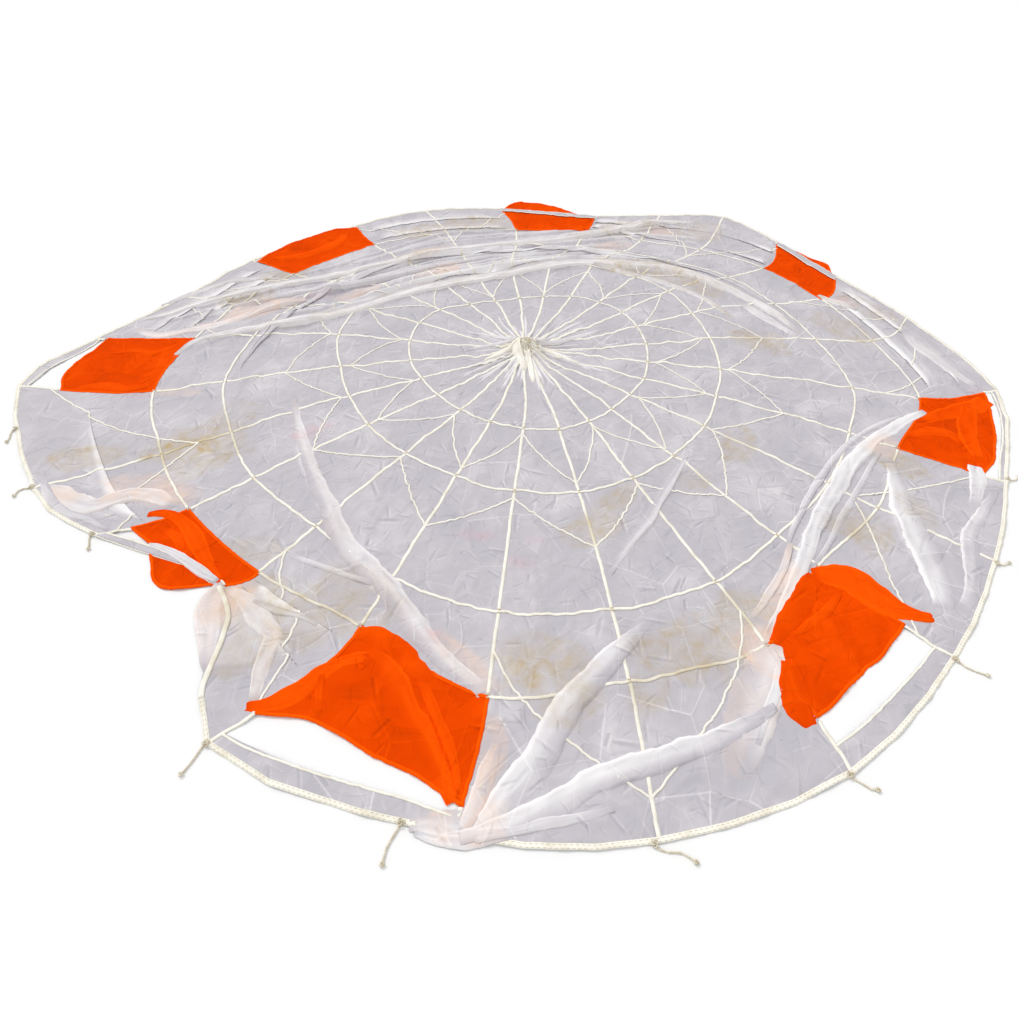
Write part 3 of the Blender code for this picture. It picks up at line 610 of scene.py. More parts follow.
class Lay:
    """Where each place of the cloth lies on the floor, seen from above."""

    def __init__(self) -> None:
        """Keeps the noise that makes seams and edges wander."""
        self.wander = Noise(5)

    def radial(self, number: int, flat: Array) -> Array:
        """Points of a radial tape's middle, `flat` metres of cloth from the apex."""
        lie = RADIALS[number % GORES]
        flat = np.asarray(flat, float)
        distance = through((0.0, *RINGS, SKIRT), (0.0, *lie[:5]), flat)
        swing = through((0.0, RINGS[1], RINGS[3], SKIRT), (0.0, *lie[5:]), np.minimum(flat, SKIRT))
        angle = np.radians(FIRST_RADIAL_DEG + STEP_DEG * number + swing)
        aside = 1 - smooth_step(0.0, 0.9, flat)
        x, y = np.cos(angle) * distance + VENT_SHIFT[0] * aside, np.sin(angle) * distance + VENT_SHIFT[
            1] * aside
        return np.stack([x, y], -1)

    def cloth(self, across: Array, flat: Array) -> Array:
        """Points of the cloth at any places, as an array that ends in (x, y)."""
        across, flat = np.broadcast_arrays(np.asarray(across, float), np.asarray(flat, float))
        number = np.floor(across).astype(int)
        found = np.empty((*across.shape, 2))
        for first in np.unique(number):
            pick = number == first
            t = (across[pick] - first)[:, None]
            four = [self.radial(first + i, flat[pick]) for i in (-1, 0, 1, 2)]
            found[pick] = between(*four, t)
        return found

    def place(self, across: Array, flat: Array) -> tuple[Array, Array, Array]:
        """Where places of the cloth lie, with their pleats.

        Args:
            across: Radial tapes counted round the canopy.
            flat: Cloth from the apex, in metres.

        Returns:
            Points (x, y), how far the pleats raise them, and how much paler they make them.
        """
        across, flat = np.broadcast_arrays(np.asarray(across, float), np.asarray(flat, float))
        bent, rise, pale = flat.copy(), np.zeros(flat.shape), np.zeros(flat.shape)
        for pleat in PLEATS:
            inside = (across >= pleat.first) & (across <= pleat.last)
            inside &= (flat > pleat.low) & (flat < pleat.high)
            if inside.any():
                found = self.pleated(pleat, across[inside], flat[inside])
                bent[inside], rise[inside], pale[inside] = found
        return self.cloth(across, bent), rise, pale

    def pleated(self, pleat: Pleat, across: Array, flat: Array) -> tuple[Array, Array, Array]:
        """Flat distances that lie without pleats where these lie with them, their rise and paleness."""
        column, back = np.unique(across, return_inverse=True)
        low, high = norms(self.cloth(column, pleat.low)), norms(self.cloth(column, pleat.high))
        angle = bearing(self.cloth(column, 0.5 * (pleat.low + pleat.high)))
        width = pleat.high - pleat.low
        spare = np.clip(width - (high - low), 0, None)
        for fade, inside in zip(pleat.fades, (column - pleat.first, pleat.last - column)):
            spare = spare * smooth_step(0, fade, inside)
        spare = np.maximum(spare, 1e-4)
        slope = (high - low + spare) / width
        distance = low[back] + slope[back] * (flat - pleat.low)
        used = np.zeros(len(column))
        folds = []
        for share, crest in pleat.crests:
            depth = 0.5 * share * spare
            inner = crest_distance(crest, angle) if isinstance(crest, str) else low + crest * (high - low)
            inner = np.clip(inner, low + 0.01, np.maximum(high - depth - 0.02, low + 0.01))
            turn = pleat.low + (inner + depth - low + 2 * used) / slope
            again = turn + depth / slope
            for sign, at in ((-2, turn), (2, again)):
                distance += sign * slope[back] * soft_ramp(flat - at[back], BEND)
            folds.append((inner[back], depth[back], turn[back], again[back]))
            used = used + depth
        rise, pale = np.zeros(len(flat)), np.zeros(len(flat))
        for inner, depth, turn, again in folds:
            over = smooth_step(-BEND, BEND, flat - turn)
            top = smooth_step(-BEND, BEND, flat - again)
            reach = np.clip((inner + depth - distance) / np.maximum(depth, 0.01), 0, 1)
            full = smooth_step(0.02, 0.09, depth)
            # The lip of a fold lies flat on the cloth under it, and its back stands up a little.
            crest = 0.10 + smooth_step(0, 0.4, 1 - reach) * (1 - smooth_step(0.45, 1.0, 1 - reach))
            past = distance - inner
            on_fold = smooth_step(-0.03, 0.0, past) * (1 - smooth_step(0, 0.06, past - depth))
            stand = pleat.height * (0.12 + 0.38 * over + 0.5 * top) * crest
            rise += full * (stand + LAYER * (over + top)) * on_fold
            pale += full * on_fold * (0.25 + 0.75 * smooth_step(0.35, 0.8, reach)) * top
        bent = pleat.low + (distance - low[back]) * width / (high - low)[back]
        return bent, rise, np.clip(pale, 0, 1)

    def rim(self, across: Array) -> Array:
        """Points of the skirt tape's outer edge, which runs straight between its stations."""
        across = np.atleast_1d(np.asarray(across, float))
        gore = np.floor(across + 1e-9)
        t = np.clip(across - gore, 0, 1)
        index = np.clip(np.searchsorted(SKIRT_STATIONS, t, side="right") - 1, 0, 2)
        low, high = SKIRT_STATIONS[index], SKIRT_STATIONS[index + 1]
        start, end = self.cloth(gore + low, SKIRT), self.cloth(gore + high, SKIRT)
        return start + (end - start) * ((t - low) / (high - low))[:, None]

    def from_skirt(self, across: Array, width: Array) -> Array:
        """The flat distance of places that lie `width` metres in from the skirt."""
        span = norms(self.cloth(across, SKIRT)) - norms(self.cloth(across, RINGS[3]))
        return SKIRT - width * (SKIRT - RINGS[3]) / span


def bearing(places: Array) -> Array:
    """The directions of places from the apex, in degrees."""
    return np.degrees(np.arctan2(places[:, 1], places[:, 0])) % 360


def crest_distance(name: str, angle: Array) -> Array:
    """The distance from the apex of a named fold's crest, in some directions (degrees)."""
    crest = metres(next(fold.crest for fold in FOLDS if fold.name == name))
    turn = bearing(crest)
    order = np.argsort(turn)
    return np.interp(angle, turn[order], norms(crest)[order])


# ---------------------------------------------------------------- the cloth's relief


@dataclass(frozen=True)
class Fold:
    """A long fold: its half width and height, the places its crest bends at (cm), and its paleness."""

    name: str
    half_width: float
    height: float
    crest: tuple
    pale: float = 0.5
    lean: float = 0.0


FOLDS = (
    Fold("far_roll", 0.08, 0.046, ((-292, -28), (-280, -7), (-248, 11), (-206, 28), (-180, 40), (-149, 59),
        (-113, 86), (-37, 124), (24, 147), (72, 152), (114, 150), (152, 137), (184, 115), (219, 77),
        (242, 55)), 0.95, 0.45),
    Fold("back_roll", 0.065, 0.034, ((-310, 20), (-215, 76), (-127, 147), (-13, 188), (54, 216),
        (152, 256)), 0.8, 0.4),
    Fold("between_rolls", 0.045, 0.022, ((-245, 44), (-140, 112), (-40, 164), (85, 183), (155, 170)), 0.4,
        0.3),
    Fold("left_fold", 0.055, 0.028, ((-172, -108), (-144, -166), (-100, -230), (-63, -264), (-32, -301)),
        0.9, 0.3),
    Fold("front_fold", 0.065, 0.028, ((-18, -352), (1, -331), (30, -292), (70, -254)), 0.9, 0.2),
    Fold("middle_fold", 0.045, 0.018, ((46, -224), (79, -170), (122, -94)), 0.8, 0.3),
    Fold("right_fold", 0.06, 0.034, ((256, -97), (209, -140), (175, -190), (140, -246)), 0.95, 0.4),
    Fold("front_flap", 0.06, 0.022, ((10, -352), (42, -340), (102, -317)), 0.6),
    Fold("right_flap", 0.055, 0.024, ((129, -280), (122, -302), (106, -334)), 0.6),
    Fold("edge_fold", 0.045, 0.022, ((250, -124), (237, -181), (244, -233)), 0.6),
    Fold("left_flap", 0.065, 0.022, ((-312, -162), (-279, -176), (-230, -178)), 0.6),
    Fold("low_left_fold", 0.055, 0.022, ((-162, -256), (-134, -280), (-136, -306)), 0.5),
)


@dataclass(frozen=True)
class Sheaf:
    """A family of narrow folds between two guide lines, whose places are in centimetres."""

    name: str
    first: tuple
    second: tuple
    count: int
    half_width: float
    height: float
    pale: float = 0.3


SHEAVES = (Sheaf("far_left", ((-295, -22), (-247, 20), (-178, 51), (-113, 97), (-37, 133), (72, 165),
    (155, 149), (223, 90)), ((-341, 32), (-285, 55), (-222, 95), (-169, 118), (-113, 160), (-38, 185),
    (43, 216), (115, 240), (209, 264)), 7, 0.04, 0.024, 0.45), Sheaf("far_rim", ((-341, 32), (-222, 95),
    (-113, 160), (43, 216), (209, 264)), ((-310, 55), (-188, 135), (-102, 210), (70, 238), (190, 260)), 4,
    0.035, 0.018, 0.35))


class Tint(Enum):
    """Marks on the cloth, by the name of the mesh attribute that carries them."""

    STAIN = "stain"
    PEACH = "peach"
    ROSE = "rose"


class Relief:
    """The cloth's height over the floor and its paleness, kept as maps over the floor."""

    cell = 0.006
    coarse = 0.02
    margin = 0.25

    def __init__(self) -> None:
        """Makes empty maps that reach past the canopy on every side."""
        low, high = CAD_BOX
        self.low = np.array([low[0] - self.margin, low[1] - self.margin])
        size = np.array([high[0] - low[0], high[1] - low[1]]) + 2 * self.margin
        self.shape = tuple(np.ceil(size / self.cell).astype(int) + 1)
        self.height = np.zeros(self.shape)
        self.pale = np.zeros(self.shape)
        self.x = self.low[0] + self.cell * np.arange(self.shape[0])
        self.y = self.low[1] + self.cell * np.arange(self.shape[1])
        self.tints = {mark: np.zeros(tuple(np.ceil(size / self.coarse).astype(int) + 1)) for mark in Tint}
        self.top = np.zeros(self.tints[Tint.STAIN].shape)

    def settle(self, points: Array) -> None:
        """Raises the map of the topmost cloth to these points."""
        spot = np.rint((points[:, :2] - self.low) / self.coarse).astype(int)
        np.maximum.at(self.top, (spot[:, 0], spot[:, 1]), points[:, 2])

    def close_top(self) -> None:
        """Fills gaps in the map of the topmost cloth and evens it."""
        def shifted() -> list[Array]:
            """The map moved by one cell in all directions."""
            return [np.roll(self.top, (i, j), (0, 1)) for i in (-1, 0, 1) for j in (-1, 0, 1)]

        self.top = np.max(shifted(), axis=0)
        for _ in range(2):
            self.top = np.mean(shifted(), axis=0)

    def over(self, place: Array) -> Array:
        """The height of the topmost cloth at places."""
        return np.maximum(self.sample(self.top, place, self.coarse), self.rise(place))

    def tint(self, mark: "Tint", place: Array) -> Array:
        """How strongly a mark colours the cloth at places."""
        return self.sample(self.tints[mark], place, self.coarse)

    def window(self, low: Array, high: Array) -> tuple[slice, slice]:
        """The part of the maps within a box."""
        first = np.clip(np.floor((low - self.low) / self.cell).astype(int), 0, self.shape)
        last = np.clip(np.ceil((high - self.low) / self.cell).astype(int) + 1, 0, self.shape)
        return slice(first[0], last[0]), slice(first[1], last[1])

    def ridge(self, crest: Array, half_width: float, height: float, pale: float = 0.0, lean: float = 0.0,
            taper: float = 0.35) -> None:
        """Raises one ridge along a crest, lower at both ends, and adds its paleness.

        Args:
            crest: Points of the crest, (x, y).
            half_width: From the crest to the foot.
            height: Of the crest. Negative for a groove.
            pale: How much whiter the crest is.
            lean: From -1 to 1, how far the crest leans to the left or right of its line.
            taper: Length of each end over which it sinks.
        """
        crest = np.asarray(crest, float)
        steps, far = norms(np.diff(crest, axis=0)), walked(crest)
        taper = min(taper, 0.5 * far[-1])
        box = self.window(crest.min(0) - half_width, crest.max(0) + half_width)
        best = np.zeros((box[0].stop - box[0].start, box[1].stop - box[1].start))
        for start, end, before, length in zip(crest, crest[1:], far, steps):
            if length == 0:
                continue
            part = self.window(np.minimum(start, end) - half_width, np.maximum(start, end) + half_width)
            x, y = self.x[part[0]][:, None], self.y[part[1]][None, :]
            ahead = (end - start) / length
            share = np.clip(((x - start[0]) * ahead[0] + (y - start[1]) * ahead[1]) / length, 0, 1)
            off_x, off_y = x - start[0] - share * length * ahead[0], y - start[1] - share * length * ahead[
                1]
            side = off_x * ahead[1] - off_y * ahead[0]
            away = np.hypot(off_x, off_y) / half_width
            skew = np.where(side > 0, 1 + lean, 1 - lean)
            profile = np.clip(1 - away / skew, 0, 1)
            profile = profile * profile * (3 - 2 * profile)
            along = before + share * length
            ends = smooth_step(0, 1, np.minimum(along, far[-1] - along) / taper)
            row, column = part[0].start - box[0].start, part[1].start - box[1].start
            view = best[row : row + profile.shape[0], column : column + profile.shape[1]]
            np.maximum(view, profile * ends, out=view)
        self.height[box] += height * best
        # The crest is painted paler along its profile: partly cloth that lies double, partly a painted highlight.
        if pale:
            np.maximum(self.pale[box], pale * smooth_step(0.25, 0.75, best), out=self.pale[box])

    def sample(self, values: Array, place: Array, cell: float | None = None) -> Array:
        """A map's values at places, straight between its cells."""
        spot = (np.asarray(place, float)[..., :2] - self.low) / (cell or self.cell)
        spot = np.clip(spot, 0, np.array(values.shape) - 1.001)
        corner = np.floor(spot).astype(int)
        u, v = np.moveaxis(spot - corner, -1, 0)
        i, j = np.moveaxis(corner, -1, 0)
        return ((values[i, j] * (1 - u) + values[i + 1, j] * u) * (1 - v) + (values[i, j + 1] * (1 - u)
            + values[i + 1, j + 1] * u) * v)

    def rise(self, place: Array) -> Array:
        """The height at places."""
        return self.sample(self.height, place)

    def paleness(self, place: Array) -> Array:
        """The paleness at places."""
        return self.sample(self.pale, place)


def resampled(line: tuple, count: int) -> Array:
    """Evenly spaced points along a line of places."""
    line = np.asarray(line, float)
    far = walked(line)
    spots = np.linspace(0, far[-1], count)
    return np.stack([np.interp(spots, far, column) for column in line.T], -1)


@dataclass
class Crumpler:
    """Fills a Relief with the canopy's folds, creases and crumples."""

    relief: Relief
    seed: int = 11
    strokes: int = 5200
    drawn_pleats: int = 66
    crumple_sizes: tuple = ((0.42, 0.0060), (0.19, 0.0042), (0.10, 0.0022))

    def crumples(self) -> None:
        """Low smooth crumples with sharp crests, over all of the cloth."""
        x, y = np.meshgrid(self.relief.x, self.relief.y, indexing="ij")
        bend = Noise(self.seed)
        warp_x, warp_y = 0.06 * bend.at(x * 3, y * 3), 0.06 * bend.at(x * 3 + 50, y * 3 + 20)
        for seed, (size, height) in enumerate(self.crumple_sizes, self.seed + 1):
            wave = Noise(seed).at((x + warp_x) / size, (y + warp_y) / size)
            crest = 1 - np.clip(np.abs(wave) * 2.2, 0, 1)
            self.relief.height += height * crest**1.5
            # Crests are painted paler and the rest a little darker: painted highlights.
            self.relief.pale += 0.10 * crest**4 - 0.03

    def creases(self) -> None:
        """Short creases and dents, a few centimetres long, in all directions."""
        draw = np.random.default_rng(self.seed)
        relief = self.relief
        low, high = relief.low + 0.2, relief.low + relief.cell * np.array(relief.shape) - 0.2
        for _ in range(self.strokes):
            middle = low + (high - low) * draw.random(2)
            turn = math.pi * draw.random()
            length = 0.04 + 0.14 * draw.random() ** 2
            bow = length * 0.2 * (draw.random() - 0.5)
            ahead = np.array([math.cos(turn), math.sin(turn)])
            side = np.array([-ahead[1], ahead[0]])
            line = [middle - ahead * length / 2, middle + side * bow, middle + ahead * length / 2]
            sign = 1 if draw.random() < 0.5 else -1
            size = sign * (0.0022 + 0.0035 * draw.random())
            relief.ridge(line, 0.010 + 0.008 * draw.random(), size, taper=0.5 * length)

    def folds(self) -> None:
        """The long folds, whose crests wander a little."""
        wander = Noise(self.seed + 9)
        for number, fold in enumerate(FOLDS):
            crest = smooth_route(metres(fold.crest), 0.03)
            shift = np.stack([wander.at(crest[:, 0] * 6 + number, crest[:, 1] * 6),
                wander.at(crest[:, 0] * 6, crest[:, 1] * 6 + 40 + number)], -1)
            self.relief.ridge(crest + 0.012 * shift, fold.half_width, 0.55 * fold.height, 0.5 * fold.pale,
                fold.lean)

    def sheaves(self) -> None:
        """The families of narrow folds."""
        draw = np.random.default_rng(self.seed + 3)
        wander = Noise(self.seed + 10)
        for sheaf in SHEAVES:
            first, second = (resampled(metres(line), 24) for line in (sheaf.first, sheaf.second))
            for index in range(sheaf.count):
                share = (index + 0.3 + 0.4 * draw.random()) / sheaf.count
                drift = share + 0.12 * wander.at(np.linspace(0, 4, 24), 7.3 * index)
                line = first + (second - first) * drift[:, None]
                start, end = sorted(draw.random(2) * (0.35, 0.35) + (0.0, 0.65))
                line = line[int(24 * start) : max(int(24 * end), int(24 * start) + 4)]
                height = sheaf.height * (0.5 + 0.7 * draw.random())
                half_width = sheaf.half_width * (0.7 + 0.6 * draw.random())
                self.relief.ridge(smooth_route(line, 0.04), half_width, height, sheaf.pale,
                    0.5 * draw.random())

    def gather(self) -> None:
        """The cloth drawn up round the vent: a low cone with pleats that run outward from it."""
        relief = self.relief
        away = np.hypot(relief.x[:, None] - VENT_SHIFT[0], relief.y[None, :] - VENT_SHIFT[1])
        relief.height += 0.046 * np.exp(-((away / 0.16) ** 2)) + 0.010 * np.exp(-((away / 0.42) ** 2))
        draw = np.random.default_rng(self.seed + 5)
        for index in range(self.drawn_pleats):
            turn = 2 * math.pi * (index + 0.8 * draw.random()) / self.drawn_pleats
            reach = 0.22 + 0.60 * draw.random() ** 1.8
            bow = 0.16 * (draw.random() - 0.5)
            line = []
            for share in (0, 0.33, 0.67, 1):
                far, angle = 0.06 + (reach - 0.06) * share, turn + bow * share * (1 - share) * 4
                line.append((VENT_SHIFT[0] + far * math.cos(angle), VENT_SHIFT[1] + far * math.sin(angle)))
            half_width, height = 0.011 + 0.010 * draw.random(), 0.006 + 0.011 * draw.random()
            relief.ridge(smooth_route(line, 0.02), half_width, height, 0.6 + 0.4 * draw.random(),
                taper=0.3 * reach)

    def fill(self) -> None:
        """Everything, in order, clear of the floor."""
        self.crumples()
        self.sheaves()
        self.creases()
        self.folds()
        self.gather()
        np.clip(self.relief.height, 0.0, None, out=self.relief.height)
        self.relief.height += CLOTH_RISE


# Marks by kind: x, y, half lengths (all in centimetres), turn in degrees and strength.
MARKS = (
    (Tint.STAIN, ((-235, -132, 42, 30, 20, 0.5), (-308, -145, 34, 16, 10, 0.45), (-220, -100, 30, 20, 60,
        0.25), (-145, -262, 45, 28, -20, 0.42), (-105, -250, 40, 26, -20, 0.34), (-175, -220, 26, 16, 10,
        0.3), (-155, -285, 22, 18, 70, 0.34), (5, -285, 34, 22, 5, 0.5), (20, -305, 24, 16, 40, 0.35),
        (86, -272, 40, 26, 12, 0.48), (120, -245, 26, 18, 30, 0.42), (62, -295, 22, 14, 80, 0.34),
        (38, -188, 30, 16, 35, 0.4), (55, -162, 24, 12, 50, 0.34), (148, -105, 26, 16, 60, 0.42),
        (110, -145, 18, 12, 20, 0.28), (212, -182, 30, 20, -30, 0.4), (262, -120, 26, 16, -40, 0.4),
        (255, -162, 22, 12, -60, 0.3), (195, 30, 34, 20, -30, 0.42), (110, 145, 55, 20, -8, 0.5),
        (160, 120, 34, 16, -35, 0.44), (275, 55, 40, 22, -40, 0.34), (175, 235, 40, 30, 20, 0.32),
        (95, 235, 55, 20, 25, 0.4), (-60, 235, 50, 22, 10, 0.46), (-120, 210, 34, 20, 25, 0.4),
        (-115, 155, 44, 14, 40, 0.32), (-235, 110, 34, 14, 35, 0.4), (-260, 62, 34, 12, 30, 0.4),
        (310, 90, 40, 16, -45, 0.34))),
    (Tint.PEACH, ((-245, 45, 40, 14, 35, 0.75), (-160, 80, 34, 12, 35, 0.55), (-90, 125, 34, 12, 35, 0.6),
        (-105, 162, 26, 12, 40, 0.55), (80, 195, 30, 12, 10, 0.5), (135, 230, 24, 14, 10, 0.5),
        (-30, -362, 26, 16, 0, 0.6), (-20, -330, 24, 10, 90, 0.7), (-35, -285, 30, 10, -40, 0.6),
        (130, -268, 24, 20, 60, 0.85), (148, -230, 34, 10, 60, 0.6), (255, -100, 20, 14, 30, 0.6),
        (-250, -172, 40, 16, -8, 0.7), (-175, -255, 24, 16, 30, 0.7), (-275, -72, 28, 6, 0, 0.55))),
    (Tint.ROSE, ((-300, -78, 14, 6, 0, 0.4), (-162, -110, 18, 10, 30, 0.3), (-55, -272, 10, 7, -40, 0.32),
        (-35, -198, 18, 5, 0, 0.36), (0, -200, 10, 4, 0, 0.28), (-8, -218, 12, 6, 0, 0.3))),
    (Tint.STAIN, ((-8, 2, 24, 20, 0, 0.2),)),
    (Tint.ROSE, ((362, -38, 22, 10, -60, 0.3), (290, 105, 18, 10, -45, 0.45), (-195, 72, 16, 7, 30, 0.3))),
)


@dataclass
class Dyer:
    """Fills a Relief's tint maps with ragged patches that have darker edges, as dried water leaves."""

    relief: Relief
    seed: int = 23
    gains: dict = field(default_factory=lambda: {Tint.STAIN: 1.9, Tint.PEACH: 0.9, Tint.ROSE: 1.2})

    def fill(self) -> None:
        """Draws every mark."""
        relief = self.relief
        noise = Noise(self.seed)
        marks = [(tint, *row) for tint, rows in MARKS for row in rows]
        for number, (tint, *sizes, turn, strength) in enumerate(marks):
            middle_x, middle_y, long, short = metres(sizes)
            values = relief.tints[tint]
            x = (relief.low[0] + relief.coarse * np.arange(values.shape[0]))[:, None]
            y = (relief.low[1] + relief.coarse * np.arange(values.shape[1]))[None, :]
            near_x, near_y = np.abs(x[:, 0] - middle_x) < 1.5 * long, np.abs(y[0] - middle_y) < 1.5 * long
            part = np.ix_(near_x, near_y)
            off_x, off_y = x[near_x] - middle_x, y[:, near_y] - middle_y
            cos, sin = math.cos(math.radians(turn)), math.sin(math.radians(turn))
            away = np.hypot((off_x * cos + off_y * sin) / long, (off_y * cos - off_x * sin) / short)
            rough = noise.at(x[near_x] * 5 + number, y[:, near_y] * 5)
            fine = noise.at(x[near_x] * 15 + number, y[:, near_y] * 15)
            away = away + 0.35 * rough + 0.18 * fine
            body = (1 - smooth_step(0.45, 1.0, away)) * (0.55 + 0.45 * rough)
            edge = np.exp(-((away - 0.75) / 0.09) ** 2) * smooth_step(-0.1, 0.5, fine)
            strength = min(1.0, self.gains[tint] * strength)
            values[part] = np.maximum(values[part], strength * np.clip(body + 0.7 * edge, 0, 1))


# ---------------------------------------------------------------- meshes


def placed(name: str, data: bpy.types.ID) -> Piece:
    """A new object of the scene, at the origin, with some data."""
    made = bpy.data.objects.new(name, data)
    bpy.context.scene.collection.objects.link(made)
    return made


def mesh_object(name: str, points: Array, faces: list, finish: Material, uv: Array | None = None,
        uv_name: str = "cloth", values: dict | None = None, smooth: bool = True) -> Piece:
    """An object at the origin with a mesh of the given points and faces.

    Args:
        name: The piece's name.
        points: Corner places, (n, 3).
        faces: Corner numbers of each face.
        finish: The material.
        uv: A place on the pattern for each corner, (n, 2).
        uv_name: The UV map's name.
        values: A number for each corner, by attribute name.
        smooth: Whether faces are shaded smooth.

    Returns:
        The object, in the scene.
    """
    mesh = bpy.data.meshes.new(name)
    mesh.from_pydata(np.asarray(points).tolist(), [], faces)
    mesh.update()
    if uv is not None:
        layer = mesh.uv_layers.new(name=uv_name)
        corners = np.empty(len(mesh.loops), np.int32)
        mesh.loops.foreach_get("vertex_index", corners)
        layer.data.foreach_set("uv", np.asarray(uv, np.float32)[corners].ravel())
    for label, numbers in (values or {}).items():
        made = mesh.attributes.new(label, "FLOAT", "POINT")
        made.data.foreach_set("value", np.asarray(numbers, np.float32))
    mesh.polygons.foreach_set("use_smooth", [smooth] * len(mesh.polygons))
    mesh.materials.append(finish)
    return placed(name, mesh)


def declared(piece: Piece, node: str | None = None) -> Piece:
    """Sets a piece on the part's one body and hides the CAD node it replaces."""
    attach(piece, "root")
    if node:
        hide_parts(node)
    return piece


def grid_faces(rows: int, columns: int, closed: bool = False) -> list:
    """Faces of a grid of corners, row by row, that joins its last column to its first if closed."""
    first = np.arange(rows - 1)[:, None] * columns
    column = np.arange(columns if closed else columns - 1)[None, :]
    after = (column + 1) % columns
    quads = np.stack([first + column, first + columns + column, first + columns + after, first + after], -1)
    return quads.reshape(-1, 4).tolist()


@dataclass
class Cloth:
    """Makes the canopy's sheets, which all follow one lay and one relief."""

    lay: Lay
    relief: Relief
    row_spacing: float = 0.016
    pleat_spacing: float = 0.0105
    columns: int = 52
    halvings: tuple = (0.55, 1.65)

    def sheet(self, name: str, finish: Material, gore: int, inner: Array, outer: Array, lift: float = 0.0,
            spacing: float | None = None) -> Piece:
        """A sheet from one radial tape to the next.

        Args:
            name: The piece's name.
            finish: Its material.
            gore: The gore it lies in.
            inner: Flat distances of its inner edge, one for each column.
            outer: The same for its outer edge.
            lift: How far it is raised at its outer edge.
            spacing: Between rows.

        Returns:
            The piece.
        """
        columns = self.columns + 1
        share = self.row_shares(gore, float(np.min(inner)), float(np.max(outer)), spacing)[:, None]
        rows = len(share)
        flat = inner + (outer - inner) * share
        across = gore + np.linspace(0, 1, columns)[None, :] + 0 * flat
        place, rise, folded = self.lay.place(across, flat)
        # The hem draws the cloth's edge straight between its stations.
        to_rim = self.lay.rim(across[0]) - self.lay.cloth(across[0], SKIRT)
        place = place + to_rim[None] * smooth_step(SKIRT - 0.30, SKIRT_CLOTH, flat)[..., None]
        panel = name.startswith("panel")
        raised = smooth_step(0.55, 0.85, share) if panel else 1 - smooth_step(0.75, 1.0, share)
        height = self.relief.rise(place) + rise + lift * raised
        points = np.concatenate([place, height[..., None]], -1)
        middle = flat[:, columns // 2]
        steps = [4 if value < self.halvings[0] else 2 if value < self.halvings[1] else 1
            for value in middle]
        faces = self.stepped_faces(rows, columns, steps)
        width = flat * math.radians(STEP_DEG)
        uv = np.stack([(across - gore - 0.5) * width, flat], -1).reshape(-1, 2)
        points = points.reshape(-1, 3)
        values = {"pale": 0.5 + 0.5 * np.maximum(self.relief.paleness(place), folded).reshape(-1)}
        if not panel:
            values.update({mark.value: self.relief.tint(mark, place).reshape(-1) for mark in Tint})
        used = np.unique(np.concatenate([np.asarray(face) for face in faces]))
        renumber = np.full(len(points), -1)
        renumber[used] = np.arange(len(used))
        faces = [[int(renumber[i]) for i in face] for face in faces]
        self.relief.settle(points[used])
        values = {label: numbers[used] for label, numbers in values.items()}
        return mesh_object(name, points[used], faces, finish, uv[used], values=values)

    def row_shares(self, gore: int, low: float, high: float, spacing: float | None) -> Array:
        """Where rows lie between two flat distances, closer where the gore is pleated."""
        spots = [low]
        while spots[-1] < high:
            step = spacing or self.row_spacing
            if any(pleat.first < gore + 0.5 < pleat.last and pleat.low < spots[-1] < pleat.high
                    for pleat in PLEATS):
                step = min(step, self.pleat_spacing)
            spots.append(spots[-1] + step)
        spots = np.array(spots)
        return (spots - low) / (spots[-1] - low)

    @staticmethod
    def stepped_faces(rows: int, columns: int, steps: list[int]) -> list:
        """Faces of a grid whose rows each use every step-th column, joined where the step changes."""
        faces = []
        for row in range(rows - 1):
            low, high = steps[row], steps[row + 1]
            for column in range(0, columns - 1, max(low, high)):
                end = column + max(low, high)
                near = [row * columns + i for i in range(column, end + 1, low)]
                far = [(row + 1) * columns + i for i in range(column, end + 1, high)]
                faces.append([near[0], *far, *reversed(near[1:])])
        return faces


@dataclass
class Gores:
    """The white gores from the vent to the skirt, or to ring 4 above a slot."""

    cloth: Cloth
    finish: Material

    def build(self) -> list[Piece]:
        """Builds and declares all of them."""
        made = []
        ones = np.ones(self.cloth.columns + 1)
        for gore in range(GORES):
            reach = RINGS[3] if gore in SLOTS else SKIRT_CLOTH
            piece = self.cloth.sheet(f"gore_cloth_{gore:02d}", self.finish, gore, VENT * ones, reach * ones)
            declared(piece, f"gore_{gore:02d}")
            width = 2 * reach * math.tan(math.radians(STEP_DEG / 2))
            LOG.info("%s: %.2f of its flat area", piece.name, sheet_area(piece) / (0.5 * width * reach))
            made.append(piece)
        return made


def panel_reach(gore: int, share: Array) -> Array:
    """The flat distance of a panel's free edge at shares of the way across its gore."""
    return RINGS[3] + through(SLOT_STATIONS, SLOTS[gore][1], share) * (SKIRT - RINGS[3])


